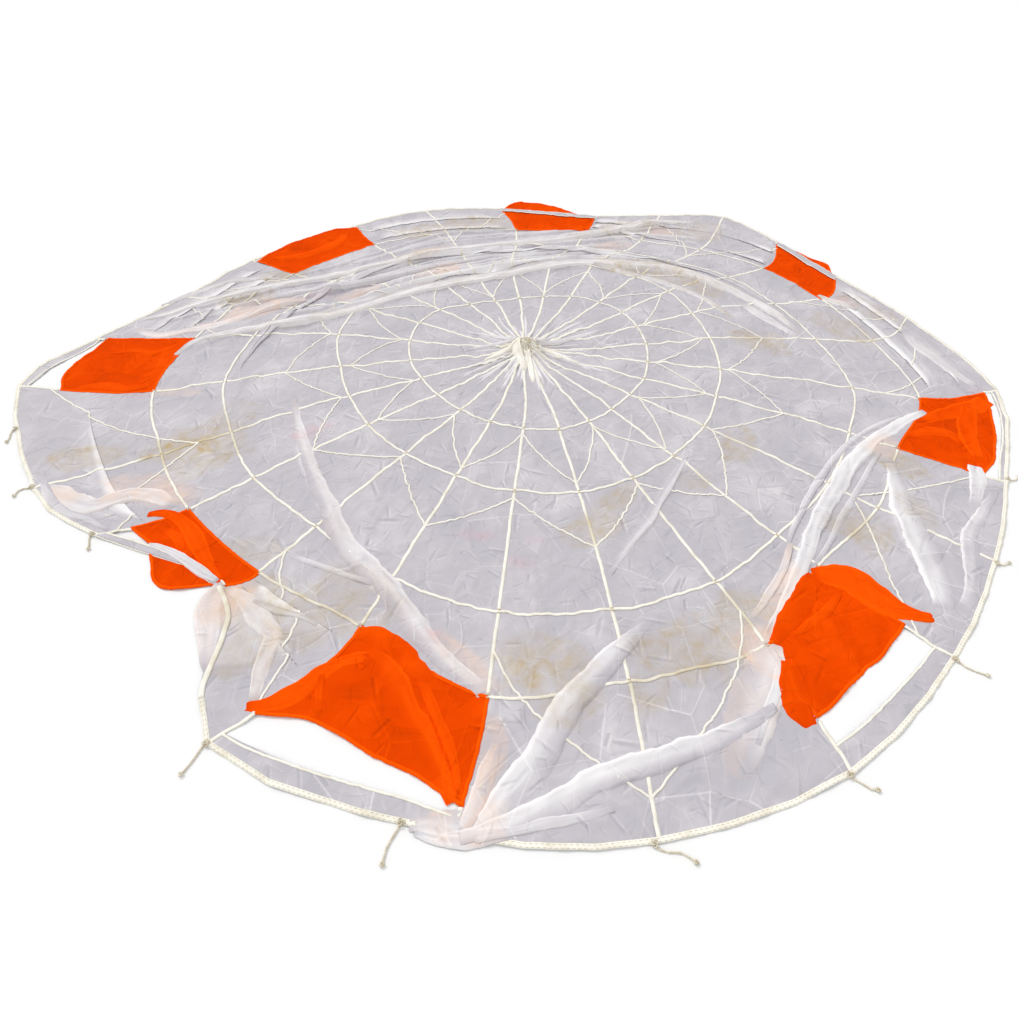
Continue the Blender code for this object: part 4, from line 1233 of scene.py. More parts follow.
@dataclass
class SlotCloth:
    """The orange panels and the white bands on both sides of the open slots."""

    cloth: Cloth
    orange: Material
    white: Material
    tape: Material
    lift: float = 0.007
    hem_width: float = 0.012
    panel_hem: float = 0.020
    hem_over: float = 0.0014
    hem_stations: int = 76
    side_stations: int = 60

    def build(self) -> list[Piece]:
        """Builds and declares all of them."""
        made = []
        share = np.linspace(0, 1, self.cloth.columns + 1)
        relief, wander = self.cloth.relief, self.cloth.lay.wander
        band_hems, panel_hems = Bundle(relief), Bundle(relief, pale=0.95)
        for gore, (on_top, _, widths) in SLOTS.items():
            outer = panel_reach(gore, share) + 0.010 * wander.at(share * 7 + gore, 0.5)
            width = through(SLOT_STATIONS, widths, share) + 0.004 * wander.at(share * 9, gore + 0.3)
            inner = self.cloth.lay.from_skirt(gore + share, width)
            on_panel, on_band = (self.lift if on_top == kind else 0.0 for kind in ("panel", "band"))
            full = np.ones(len(share))
            panel = self.cloth.sheet(f"panel_cloth_{gore:02d}", self.orange, gore, RINGS[3] * full, outer,
                lift=on_panel)
            band = self.cloth.sheet(f"band_cloth_{gore:02d}", self.white, gore, inner, SKIRT_CLOTH * full,
                spacing=0.012, lift=on_band)
            declared(panel, f"panel_{gore:02d}")
            declared(band, f"band_{gore:02d}")
            across = 2 * SKIRT * math.tan(math.radians(STEP_DEG / 2))
            for piece in (panel, band):
                max(sheet_area(piece) / across, 0.05)
                made.append(piece)
            fine = np.linspace(0, 1, self.hem_stations)
            narrow, wide = self.hem_width, self.panel_hem
            self.hem(band_hems, gore, fine, np.interp(fine, share, inner) + 0.5 * narrow, narrow, on_band)
            self.hem(panel_hems, gore, fine, np.interp(fine, share, outer) - 0.5 * wide, wide, on_panel)
            self.hem(panel_hems, gore, fine, RINGS[3] + 0.2 * wide + 0 * fine, wide, 0.0)
            for side in (0.0, 1.0):
                self.side_hem(panel_hems, gore + side, float(np.interp(side, share, outer)), on_panel)
        return [*made, declared(band_hems.piece("band_hems", self.tape)),
            declared(panel_hems.piece("panel_hems", self.orange))]

    def hem(self, bundle: "Bundle", gore: int, share: Array, flat: Array, width: float,
            lift: float) -> None:
        """Adds a doubled hem along the free edge of a panel or band."""
        lay = self.cloth.lay
        wave = 0.004 * lay.wander.at(share * 31, gore) + 0.002 * lay.wander.at(share * 77, gore)
        middle, rise, _ = lay.place(gore + share, flat + wave * np.sin(math.pi * share) ** 0.5)
        bundle.add(*ribbon(middle, rise + lift, width, self.cloth.relief, over=self.hem_over,
            thickness=self.hem_over))

    def side_hem(self, bundle: "Bundle", across: float, reach: float, lift: float) -> None:
        """Adds a panel's hem along the radial tape beside it, from ring 4 to the panel's edge."""
        lay = self.cloth.lay
        flat = np.linspace(RINGS[3], reach, self.side_stations)
        sway = 0.004 * lay.wander.at(flat * 12, across) / (RINGS[3] * math.radians(STEP_DEG))
        middle, rise, _ = lay.place(across + sway, flat)
        raised = lift * smooth_step(0.5, 0.8, (flat - RINGS[3]) / (reach - RINGS[3]))
        bundle.add(*ribbon(middle, rise + raised, self.panel_hem, self.cloth.relief, over=self.hem_over))


def sheet_area(piece: Piece) -> float:
    """The area of a piece's faces, in square metres."""
    areas = np.empty(len(piece.data.polygons))
    piece.data.polygons.foreach_get("area", areas)
    return float(areas.sum())


def ribbon(middle: Array, rise: Array, width: Array, relief: Relief, over: float = 0.0012,
        thickness: float = 0.0012, closed: bool = False, side: Array | None = None,
        columns: int = 3) -> tuple[Array, list, Array]:
    """A flat tape with some thickness that lies along a line of the cloth.

    Args:
        middle: Points of its middle, (n, 2).
        rise: How far pleats raise each of them.
        width: Its width, one number or one for each point.
        relief: What it lies on.
        over: How far its underside is over the cloth.
        thickness: Its thickness.
        closed: Whether its last point joins its first.
        side: Direction across it at each point, or None for square to its line.
        columns: Corners across its top.

    Returns:
        Its corners, its faces and its UV places.
    """
    count = len(middle)

    def change(values: Array) -> Array:
        """How values change along the line."""
        return np.roll(values, -1, 0) - np.roll(values, 1, 0) if closed else np.gradient(values, axis=0)

    side = left_of(change(middle)) if side is None else unit(side)
    offsets = np.linspace(-0.5, 0.5, columns)
    width = np.broadcast_to(np.asarray(width, float), (count,))
    place = middle[:, None, :] + side[:, None, :] * (offsets[None, :, None] * width[:, None, None])
    height = relief.rise(place)
    # A tape is stiffer than the cloth: it bridges dents across its width.
    height = np.maximum(height, height.mean(1, keepdims=True) - 0.001) + rise[:, None]
    along = change(np.column_stack([middle, height.mean(1)]))
    across = np.column_stack([side, np.zeros(count)])
    up = unit(np.cross(along, across))
    base = np.concatenate([place, height[..., None]], -1)
    crown = (0.35 + 0.65 * (1 - (2 * offsets) ** 4))[None, :, None]
    top = base + up[:, None, :] * (over + thickness * crown)
    under = base + up[:, None, :] * (over - 0.0010)
    ring = np.concatenate([top, under[:, ::-1]], 1)
    per = ring.shape[1]
    faces = []
    for row in range(count if closed else count - 1):
        here, after = row * per, ((row + 1) % count) * per
        faces += [[here + i, after + i, after + (i + 1) % per, here + (i + 1) % per] for i in range(per)]
    if not closed:
        faces.append(list(range(per)))
        faces.append([(count - 1) * per + i for i in reversed(range(per))])
    both = np.concatenate([offsets, offsets[::-1]])[None, :] * width[:, None]
    uv = np.stack(np.broadcast_arrays(walked(middle)[:, None], both), -1)
    return ring.reshape(-1, 3), faces, uv.reshape(-1, 2)


@dataclass
class Bundle:
    """Several meshes that become one piece."""

    relief: Relief
    pale: float | None = None
    points: list = field(default_factory=list)
    faces: list = field(default_factory=list)
    uvs: list = field(default_factory=list)
    count: int = 0

    def add(self, points: Array, faces: list, uv: Array) -> None:
        """Adds one mesh."""
        self.points.append(points)
        self.faces += [[i + self.count for i in face] for face in faces]
        self.uvs.append(uv)
        self.count += len(points)

    def piece(self, name: str, finish: Material) -> Piece:
        """The piece, with its UV map along the tape."""
        points = np.vstack(self.points)
        if self.pale is None:
            values = {"stain": self.relief.tint(Tint.STAIN, points)}
        else:
            values = {"pale": np.full(len(points), self.pale)}
        return mesh_object(name, points, self.faces, finish, np.vstack(self.uvs), "tape", values)


@dataclass
class Tapes:
    """The radial, ring, vent and skirt tapes."""

    lay: Lay
    relief: Relief
    finish: Material
    radial_width: float = 0.021
    ring_width: float = 0.0175
    skirt_width: float = 0.028
    vent_flat: float = 0.070
    vent_width: float = 0.020
    over_cloth: float = 0.0012
    step: float = 0.02
    wander: float = 0.0120
    flap_depth: float = 0.070
    flap_share: float = 0.72

    def radials(self, bundle: Bundle) -> None:
        """The tapes over the seams between gores, straight but for small bends."""
        flat = np.arange(VENT + 0.015, SKIRT, self.step)
        for number in range(GORES):
            sway = self.wander * self.lay.wander.at(flat * 4.0, number * 3.7)
            sway += 0.55 * self.wander * self.lay.wander.at(flat * 13.0, number * 5.3)
            ease = 1 + 1.2 * (1 - smooth_step(0.2, 0.9, flat))
            middle, rise, _ = self.lay.place(float(number or GORES), flat)
            side = left_of(middle)
            # Cloth pushed together from side to side leaves the tapes that run that way wavier.
            middle = middle + side * (sway * ease * (0.35 + 1.5 * side[:, 1] ** 2))[:, None]
            # An orange panel's own hem covers the tape beside it.
            shown = np.ones(len(flat), bool)
            for gore, edge in ((number, 0.0), ((number - 1) % GORES, 1.0)):
                if gore in SLOTS:
                    shown &= (flat < RINGS[3]) | (flat > panel_reach(gore, np.array([edge]))[0])
            for run in runs(shown):
                bundle.add(*ribbon(middle[run], rise[run], self.radial_width, self.relief, side=side[run]))

    def skirt_line(self, across: Array, inward: float) -> Array:
        """Points that lie `inward` metres in from the outer edge of the skirt tape."""
        edge = self.lay.rim(across)
        # In one gore the tape has slid inward over the cloth, which sticks out as a flap.
        share = np.clip((across % GORES - FLAP_GORE) / self.flap_share, 0, 1)
        slid = self.flap_depth * np.sin(math.pi * share)
        ripple = 0.003 * np.abs(self.lay.wander.at(across * 6.3, 0.4))
        return edge - unit(edge) * (inward + 0.001 + ripple + slid)[:, None]

    def skirt(self, bundle: Bundle) -> None:
        """The wide hem round the skirt."""
        across = np.arange(0, GORES, 1 / 48)
        middle = self.skirt_line(across, 0.5 * self.skirt_width)
        bundle.add(*ribbon(middle, 0 * across, self.skirt_width, self.relief, closed=True, columns=4))

    def over_flap(self) -> Piece:
        """The part of the skirt tape that runs over the flap, up to the tie at the slot's corner."""
        path = self.skirt_line(np.arange(FLAP_GORE + 0.01, FLAP_GORE + 0.75, 1 / 48),
            0.5 * self.skirt_width)
        bundle = Bundle(self.relief)
        rise = self.relief.over(path) - self.relief.rise(path) + 0.001
        bundle.add(*ribbon(path, rise, self.skirt_width, self.relief, columns=4))
        return declared(bundle.piece("skirt_tape_over_flap", self.finish))

    def vent(self, bundle: Bundle) -> None:
        """The band round the vent."""
        across = np.arange(0, GORES, 1 / 8)
        middle = self.lay.cloth(across, self.vent_flat)
        bundle.add(*ribbon(middle, 0 * across, self.vent_width, self.relief, closed=True))

    def ring(self, number: int, flat: float) -> Piece:
        """One ring tape. The outermost one stops where a slot's panel begins."""
        across = np.arange(0, GORES, 1 / (20 + 8 * number))
        along = across * math.radians(STEP_DEG) * flat
        wave = self.wander * self.lay.wander.at(along * 4.3, 7.7 * number)
        wave += 0.5 * self.wander * self.lay.wander.at(along * 14.0, 3.3 * number)
        wave *= 0.35 + 1.1 * unit(self.lay.cloth(across, flat))[:, 1] ** 2
        middle, rise, _ = self.lay.place(across, flat + wave)
        bundle, whole = Bundle(self.relief), flat < RINGS[3]
        shown = ~np.isin(np.floor(across + 1e-9).astype(int), list(SLOTS))
        for run in [np.arange(len(across))] if whole else runs(shown):
            bundle.add(*ribbon(middle[run], rise[run], self.ring_width, self.relief, 2 * self.over_cloth,
                closed=whole))
        return declared(bundle.piece(f"ring_tape_band_{number}", self.finish),
            f"ring_tape_{number}")

    def build(self) -> list[Piece]:
        """Builds and declares all but the tape over the flap, which lies on top of the folds."""
        net = Bundle(self.relief)
        for add in (self.radials, self.skirt, self.vent):
            add(net)
        piece = declared(net.piece("radial_and_skirt_tapes", self.finish), "tape_net")
        return [piece, *(self.ring(number, flat) for number, flat in enumerate(RINGS, 1))]


@dataclass
class Sewing:
    """The bias seams of the gores, the bar tacks where tapes cross, and the skirt's stitches."""

    lay: Lay
    relief: Relief
    seam: Material
    thread: Material
    # Each zigzag: its flat distance at odd radials and at even ones.
    zigzags: tuple = ((1.02, 1.48), (1.62, 2.03), (2.72, 3.74))
    seam_width: float = 0.013
    seam_over: float = 0.0020
    step: float = 0.016
    skirt_rows: tuple = (0.006, 0.021)
    tack_reach: float = 0.009
    tack_over: float = 0.0052
    stitch_over: float = 0.0028

    def laid(self, across: Array | float, flat: Array, over: float) -> Array:
        """A path over places of the cloth, `over` metres above it."""
        place, rise, _ = self.lay.place(across, flat)
        return np.column_stack([place, self.relief.rise(place) + rise + over])

    def seams(self) -> list:
        """Paths of the zigzag seams, each across one gore."""
        paths = []
        for row, (odd, even) in enumerate(self.zigzags):
            for gore in range(GORES):
                if even > RINGS[3] and gore in SLOTS:
                    continue
                start, end = (odd, even) if gore % 2 else (even, odd)
                count = max(8, round(math.hypot(end - start, 0.26 * odd) / self.step))
                share = np.linspace(0, 1, count)
                sway = self.lay.wander.at(share * 9 * (1 + row), gore * 2.9 + row * 11)
                kink = self.lay.wander.at(share * 23 * (1 + row), gore * 4.1 + row * 7)
                flat = start + (end - start) * share
                flat += (0.014 * sway + 0.006 * kink) * np.sin(math.pi * share) ** 0.3
                paths.append(self.laid(gore + share, flat, self.seam_over))
        return paths

    def crossings(self) -> list:
        """A short path over each crossing of a radial tape with a ring tape."""
        paths = []
        for number in range(GORES):
            for flat in RINGS:
                spots = flat + self.tack_reach * np.array([-1, 1])
                paths.append(self.laid(float(number or GORES), spots, self.tack_over))
        return paths

    def skirt(self, tapes: "Tapes") -> list:
        """Two rows of stitches along the skirt tape."""
        across = np.arange(0, GORES + 1 / 144, 1 / 36)
        lines = [tapes.skirt_line(across, inward) for inward in self.skirt_rows]
        return [np.column_stack([line, self.relief.rise(line) + self.stitch_over]) for line in lines]

    def build(self, tapes: "Tapes") -> list[Piece]:
        """Builds all of it."""
        stitches = Stitches(self.thread)
        made = (
            FelledSeam(self.seam).grow("bias_seams", self.seams(), Width=self.seam_width),
            stitches.grow("crossing_tacks", self.crossings(), Pitch=0.011, Stitch_length=0.006,
                Stitch_width=0.017, Stitch_height=0.0018, Stray=0.35),
            stitches.grow("skirt_stitches", self.skirt(tapes), Pitch=0.026, Stitch_length=0.013,
                Stitch_width=0.0016, Stitch_height=0.0007),
        )
        return [declared(piece) for piece in made]


# ---------------------------------------------------------------- folds that lie double


class Look(Enum):
    """The cloth that a fold is made of."""

    WHITE = "white"
    CREAM = "cream"
    ORANGE = "orange"


@dataclass(frozen=True)
class Drape:
    """A long fold of doubled cloth: the places that its middle passes, and widths along it (both cm)."""

    name: str
    middle: tuple
    widths: tuple
    height: float = 0.009
    pale: float = 0.95
    look: Look = Look.WHITE
    pleats: float = 1.3
    ends: tuple = (0.16, 0.16)
    peach: float = 0.0
    stain: float = 0.0
    # The side that melts into the cloth: 1 for the left of the way along it, -1 for the right, 0 for neither.
    soft: int = 0


DRAPES = (
    Drape("left", ((-183, -73), (-170, -107), (-150, -150), (-133, -180), (-117, -208), (-100, -226),
        (-86, -239), (-63, -268), (-46, -286), (-31, -297), (-24, -304)), (4, 7, 9, 11, 12, 14, 15, 15, 14,
        11, 8), peach=0.1, ends=(0.3, 0.2), soft=-1, height=0.0065),
    Drape("left_branch", ((-149, -220), (-137, -224), (-121, -229), (-107, -234), (-93, -239)),
        (2.5, 4, 4.5, 4, 4), height=0.006, pale=0.8, soft=-1),
    Drape("cream", ((-175, -246), (-164, -253), (-150, -266), (-142, -275), (-142, -286), (-142, -300),
        (-141, -312)), (4, 9, 13, 12, 10, 9, 7), stain=0.22, peach=0.2, ends=(0.05, 0.06), height=0.007),
    Drape("cream_branch", ((-159, -254), (-145, -259), (-130, -262), (-117, -268)), (3, 4.5, 4, 3),
        height=0.006, pale=0.7, stain=0.3, soft=1),
    Drape("orange_top", ((-144, -315), (-133, -313), (-120, -306), (-111, -296), (-100, -288), (-86, -285),
        (-72, -288)), (5, 10, 11, 9, 7, 6, 4), look=Look.ORANGE, height=0.01, ends=(0.05, 0.15)),
    Drape("orange_main", ((-90, -280), (-76, -293), (-65, -308), (-54, -325), (-44, -340), (-36, -356)),
        (10, 14, 14, 12, 10, 6), look=Look.ORANGE, height=0.01, pleats=1.8, ends=(0.22, 0.05), soft=-1),
    Drape("orange_side", ((-110, -294), (-109, -304), (-107, -318)), (3, 4.5, 3), look=Look.ORANGE,
        height=0.008, pale=0.8),
    Drape("orange_right", ((-62, -290), (-48, -315), (-38, -335), (-33, -352)), (4, 6, 5, 4),
        look=Look.ORANGE, height=0.01, pale=0.8, ends=(0.2, 0.05)),
    Drape("right_flap", ((134, -266), (127, -280), (120, -295), (111, -310), (104, -325), (97, -341)),
        (10, 22, 26, 26, 20, 12), height=0.006, pale=0.85, pleats=2.6, peach=0.2, ends=(0.08, 0.3), soft=-1),
    Drape("right_flap_edge", ((136, -272), (127, -295), (118, -310), (110, -326)), (4, 6, 6, 3),
        height=0.008, pale=1.1),
    Drape("front_corner", ((-55, -366.5), (-48, -365), (-39, -365.5), (-29, -366.5), (-18, -365.5),
        (-5, -362.5), (10, -359)), (5, 12, 15, 14, 12, 9, 4), height=0.0065, pleats=2.4, peach=0.2,
        ends=(0.06, 0.35), soft=1),
    Drape("front_corner_low", ((-52, -369), (-42, -371.5), (-32, -372.2), (-20, -371), (-6, -368)),
        (3, 5, 6, 5, 3), height=0.008, pale=1.0, ends=(0.05, 0.25)),
    Drape("fan_wide", ((-31, -371), (-21, -364), (-12, -354), (-3, -343), (5, -332), (14, -316), (24, -301),
        (35, -288), (49, -273), (68, -254)), (6, 12, 15, 16, 16, 15, 14, 12, 9, 4), height=0.0065,
        pleats=1.8, ends=(0.03, 0.3), soft=-1, pale=1.1),
    Drape("fan_edge", ((-31, -369), (-26, -359), (-23, -349), (-20, -338), (-17, -328)), (5, 8, 9, 8, 5),
        height=0.009, pale=0.8, peach=0.5, ends=(0.03, 0.12), soft=-1),
    Drape("fan_low", ((-33, -371), (-20, -368), (-8, -364), (4, -358), (18, -351), (34, -342), (54, -335),
        (78, -327), (105, -315), (128, -302)), (6, 11, 13, 13, 13, 12, 12, 11, 9, 4), height=0.0062,
        ends=(0.03, 0.4), soft=-1, pale=1.1),
    Drape("fan_hem", ((-26, -371), (-12, -368), (4, -364), (22, -360), (40, -355)), (4, 5, 5, 4.5, 3),
        height=0.008, pale=0.75, ends=(0.03, 0.25)),
    Drape("right", ((303, -57), (278, -73), (251, -93), (227, -117), (207, -144), (186, -173), (171, -200),
        (159, -222), (146, -242), (133, -260)), (5, 9, 10, 11, 12, 12, 10, 10, 9, 5), height=0.011,
        pleats=1.7, ends=(0.1, 0.12), pale=1.25),
    Drape("right_inner", ((285, -62), (251, -82), (221, -108), (193, -143), (173, -173), (159, -197)),
        (3, 4.5, 5, 5, 4.5, 3), height=0.009, pale=0.8, ends=(0.25, 0.25), soft=1),
    Drape("right_outer", ((251, -105), (229, -135), (206, -166), (188, -192), (170, -214)),
        (3, 4.5, 5, 4.5, 3), height=0.009, pale=0.75, ends=(0.25, 0.25), soft=1),
    Drape("right_low", ((163, -193), (151, -217), (138, -235), (124, -252)), (3, 5, 5, 3), height=0.009,
        pale=0.75, peach=0.3),
    Drape("edge", ((255, -111), (251, -135), (246, -164), (246, -187), (246, -204), (244, -224),
        (240, -239)), (5, 10, 16, 19, 20, 17, 12), height=0.0072, pleats=1.6, ends=(0.25, 0.08), soft=1),
    Drape("edge_right", ((319, -139), (295, -166), (280, -183), (272, -205), (263, -224), (252, -238)),
        (4, 8, 11, 11, 10, 7), height=0.006, pale=0.7, pleats=2.0, ends=(0.25, 0.08), soft=1),
    Drape("middle", ((112, -112), (102, -131), (87, -157), (74, -181), (59, -203), (44, -227)),
        (2.5, 4.5, 6, 6, 5, 3), height=0.008, pale=0.8, ends=(0.25, 0.3), soft=-1),
    Drape("left_cream", ((-320, -173), (-307, -178), (-292, -186), (-279, -188), (-269, -183), (-260, -177),
        (-246, -178), (-230, -184)), (5, 12, 15, 14, 11, 11, 12, 6), height=0.007, pleats=2.2, peach=0.45,
        stain=0.15, ends=(0.08, 0.08)),
    Drape("left_hem", ((-328, -162), (-313, -180), (-296, -193), (-278, -199), (-262, -207)),
        (4, 7, 6, 5, 3), height=0.008, pale=0.6, ends=(0.2, 0.1), soft=1),
    Drape("orange_left", ((-244, -193), (-231, -192), (-218, -199), (-204, -215), (-192, -231),
        (-180, -242)), (4, 7, 9, 10, 8, 5), look=Look.ORANGE, height=0.014, pleats=1.6, ends=(0.05, 0.05)),
    Drape("orange_left_low", ((-232, -203), (-219, -210), (-212, -222)), (4, 7, 5), look=Look.ORANGE,
        height=0.01),
    Drape("band_gathered", ((-234, -217), (-225, -219), (-214, -223), (-204, -229), (-193, -236),
        (-182, -242)), (3, 4.5, 6, 7, 6, 3), height=0.014, pleats=2.5, ends=(0.06, 0.04)),
    Drape("flap", ((-180, -243), (-183, -252), (-182, -262), (-178, -273), (-174, -284), (-170, -296)),
        (6, 12, 14, 12, 9, 4), height=0.007, pleats=2.4, pale=0.8, peach=0.25, ends=(0.04, 0.2)),
    Drape("far_roll", ((-292, -28), (-280, -7), (-248, 11), (-206, 28), (-180, 40), (-149, 59), (-113, 86),
        (-76, 105), (-37, 121), (-5, 137), (24, 148), (72, 155), (115, 153), (152, 137), (184, 115),
        (203, 95), (223, 69), (239, 40)), (5, 9, 11, 12, 12, 11, 12, 13, 13, 13, 13, 14, 14, 13, 12, 12, 10,
        5), height=0.026, pleats=1.9, ends=(0.3, 0.4), soft=1, pale=1.35, stain=0.28),
    Drape("far_roll_low", ((55, 150), (82, 142), (113, 130), (140, 114), (162, 94), (178, 64)),
        (5, 9, 10, 9, 8, 4), height=0.014, pale=0.85, ends=(0.2, 0.3), soft=1, stain=0.45),
    Drape("back_roll", ((-345, 18), (-324, 32), (-300, 50), (-278, 66), (-253, 82), (-219, 97), (-185, 113),
        (-149, 131), (-115, 152), (-80, 168), (-40, 182), (5, 195), (40, 209), (77, 224), (114, 242),
        (150, 256), (185, 260)), (5, 9, 11, 12, 12, 12, 12, 12, 13, 13, 12, 12, 12, 12, 13, 12, 6),
        height=0.024, pleats=1.9, ends=(0.25, 0.3), soft=1, pale=1.25, stain=0.24),
    Drape("third_roll", ((-338, 6), (-312, 2), (-287, 13), (-264, 27), (-249, 39), (-231, 54), (-204, 63)),
        (5, 9, 10, 10, 10, 9, 5), height=0.018, pleats=1.7, peach=0.3, ends=(0.15, 0.25), soft=1, pale=1.1),
    Drape("between_rolls", ((-255, 54), (-224, 70), (-190, 82), (-147, 104), (-103, 129), (-65, 146)),
        (3, 5, 6, 6, 5, 3), height=0.01, pale=0.6, ends=(0.3, 0.3)),
    Drape("rim_roll", ((-330, 45), (-310, 68), (-284, 90), (-258, 98), (-236, 99)), (4, 8, 9, 8, 4),
        height=0.012, pale=0.7, stain=0.2, ends=(0.2, 0.2), soft=1),
    Drape("far_white", ((190, 92), (210, 66), (234, 36)), (5, 9, 5), height=0.01, ends=(0.15, 0.2),
        stain=0.12),
    Drape("right_orange_strip", ((169, -218), (179, -218), (188, -220), (195, -225), (203, -232),
        (210, -239), (218, -243), (225, -245), (231, -245.5)), (10, 17, 20, 21, 20, 18, 14, 10, 6),
        look=Look.ORANGE, height=0.0085, pleats=1.8, ends=(0.06, 0.03)),
    Drape("right_orange_low", ((139, -276), (138, -286), (137.5, -296), (138.5, -304), (140, -310),
        (141, -313)), (9, 15, 18, 19, 15, 7), look=Look.ORANGE, height=0.006, pale=0.2, ends=(0.08, 0.04),
        soft=1),
    Drape("right_orange_left", ((133, -266), (143, -254), (153, -241), (163, -228), (171, -220)),
        (5, 12, 14, 14, 10), look=Look.ORANGE, height=0.007, pale=0.4, ends=(0.03, 0.06), soft=-1),
    Drape("orange_brow", ((-98, -273), (-89, -272), (-79, -276), (-70, -282), (-62, -290), (-52, -297)),
        (5, 11, 13, 13, 11, 5), look=Look.ORANGE, height=0.008, pale=0.5, ends=(0.06, 0.12), soft=-1),
    Drape("right_orange_inner", ((182, -230), (172, -242), (158, -253), (144, -261)), (3, 6, 6, 3),
        look=Look.ORANGE, height=0.007, pale=0.7, ends=(0.15, 0.1), soft=1),
    Drape("edge_orange_top", ((297, -70), (315, -60), (330, -54), (346, -48), (360, -40)),
        (6, 11, 13, 15, 11), look=Look.ORANGE, height=0.008, ends=(0.05, 0.04)),
    Drape("edge_orange_mid", ((342, -50), (328, -73), (323, -92), (321, -109)), (12, 16, 14, 7),
        look=Look.ORANGE, height=0.012, ends=(0.06, 0.06)),
    Drape("edge_orange_low", ((278, -87), (296, -81), (310, -83), (316, -95)), (4, 9, 9, 4),
        look=Look.ORANGE, height=0.01, pale=0.8, ends=(0.06, 0.08)),
    Drape("edge_white_hem", ((315, -116), (311, -128), (304, -142), (296, -157)), (10, 11, 10, 6),
        height=0.009, ends=(0.02, 0.15)),
    Drape("far_orange_fold", ((-344, -27), (-327, -22), (-308, -22), (-294, -11)), (5, 8, 8, 4),
        look=Look.ORANGE, height=0.007, pale=0.6, ends=(0.1, 0.12), soft=1),
    Drape("far_orange_low", ((-350, -74), (-331, -68), (-309, -71), (-294, -64)), (5, 8, 8, 5),
        look=Look.ORANGE, height=0.008, pale=0.7, ends=(0.08, 0.12)),
    Drape("back_orange_fold", ((-260, 136), (-230, 146), (-205, 172), (-197, 198)), (5, 10, 11, 8),
        look=Look.ORANGE, height=0.01, pale=0.8, ends=(0.1, 0.1)),
    Drape("vent_broad", ((-12.5, 5.5), (-15.5, 0), (-15, -7), (-12.5, -14), (-10, -21), (-8.5, -29)),
        (4, 6, 6.5, 5.5, 4.5, 2), look=Look.CREAM, height=0.024, pleats=1.4, ends=(0.03, 0.1)),
    Drape("vent_tail", ((-6, -9), (-4.5, -17), (-3, -26), (-2, -34), (-1, -42)), (3, 4.5, 5, 4, 2),
        look=Look.CREAM, height=0.02, pleats=1.4, ends=(0.03, 0.08)),
    Drape("vent_right", ((0, 3), (10, 8), (22, 15), (40, 26), (62, 37)), (3, 4.5, 4.5, 4, 2), height=0.018,
        pleats=1.4, ends=(0.04, 0.25)),
    Drape("vent_right_low", ((2, -3), (12, -5), (24, -10), (36, -17)), (2, 3, 3, 1.5), look=Look.CREAM,
        height=0.012, ends=(0.03, 0.15)),
    Drape("vent_left", ((-15, 0), (-24, -4), (-33, -10), (-41, -17)), (3, 4.5, 4, 2), look=Look.CREAM,
        height=0.014, ends=(0.04, 0.12)),
    Drape("vent_left_far", ((-14, 5), (-28, 6), (-44, 2), (-60, -4)), (3, 4, 3.5, 2), height=0.012,
        pale=0.8, ends=(0.04, 0.25)),
    Drape("vent_back", ((-12, 8), (-26, 15), (-42, 20), (-58, 23)), (3, 4, 3.5, 2), height=0.012, pale=0.8,
        ends=(0.04, 0.2)),
    Drape("rim_right", ((328, 58), (333, 35), (341, 12), (350, -7), (360, -22)), (5, 10, 11, 10, 5),
        height=0.01, pale=0.75, ends=(0.2, 0.08), stain=0.15),
    Drape("slot_corner_right", ((270, 112), (285, 97), (298, 84)), (5, 9, 5), height=0.01,
        ends=(0.08, 0.12), stain=0.45),
)


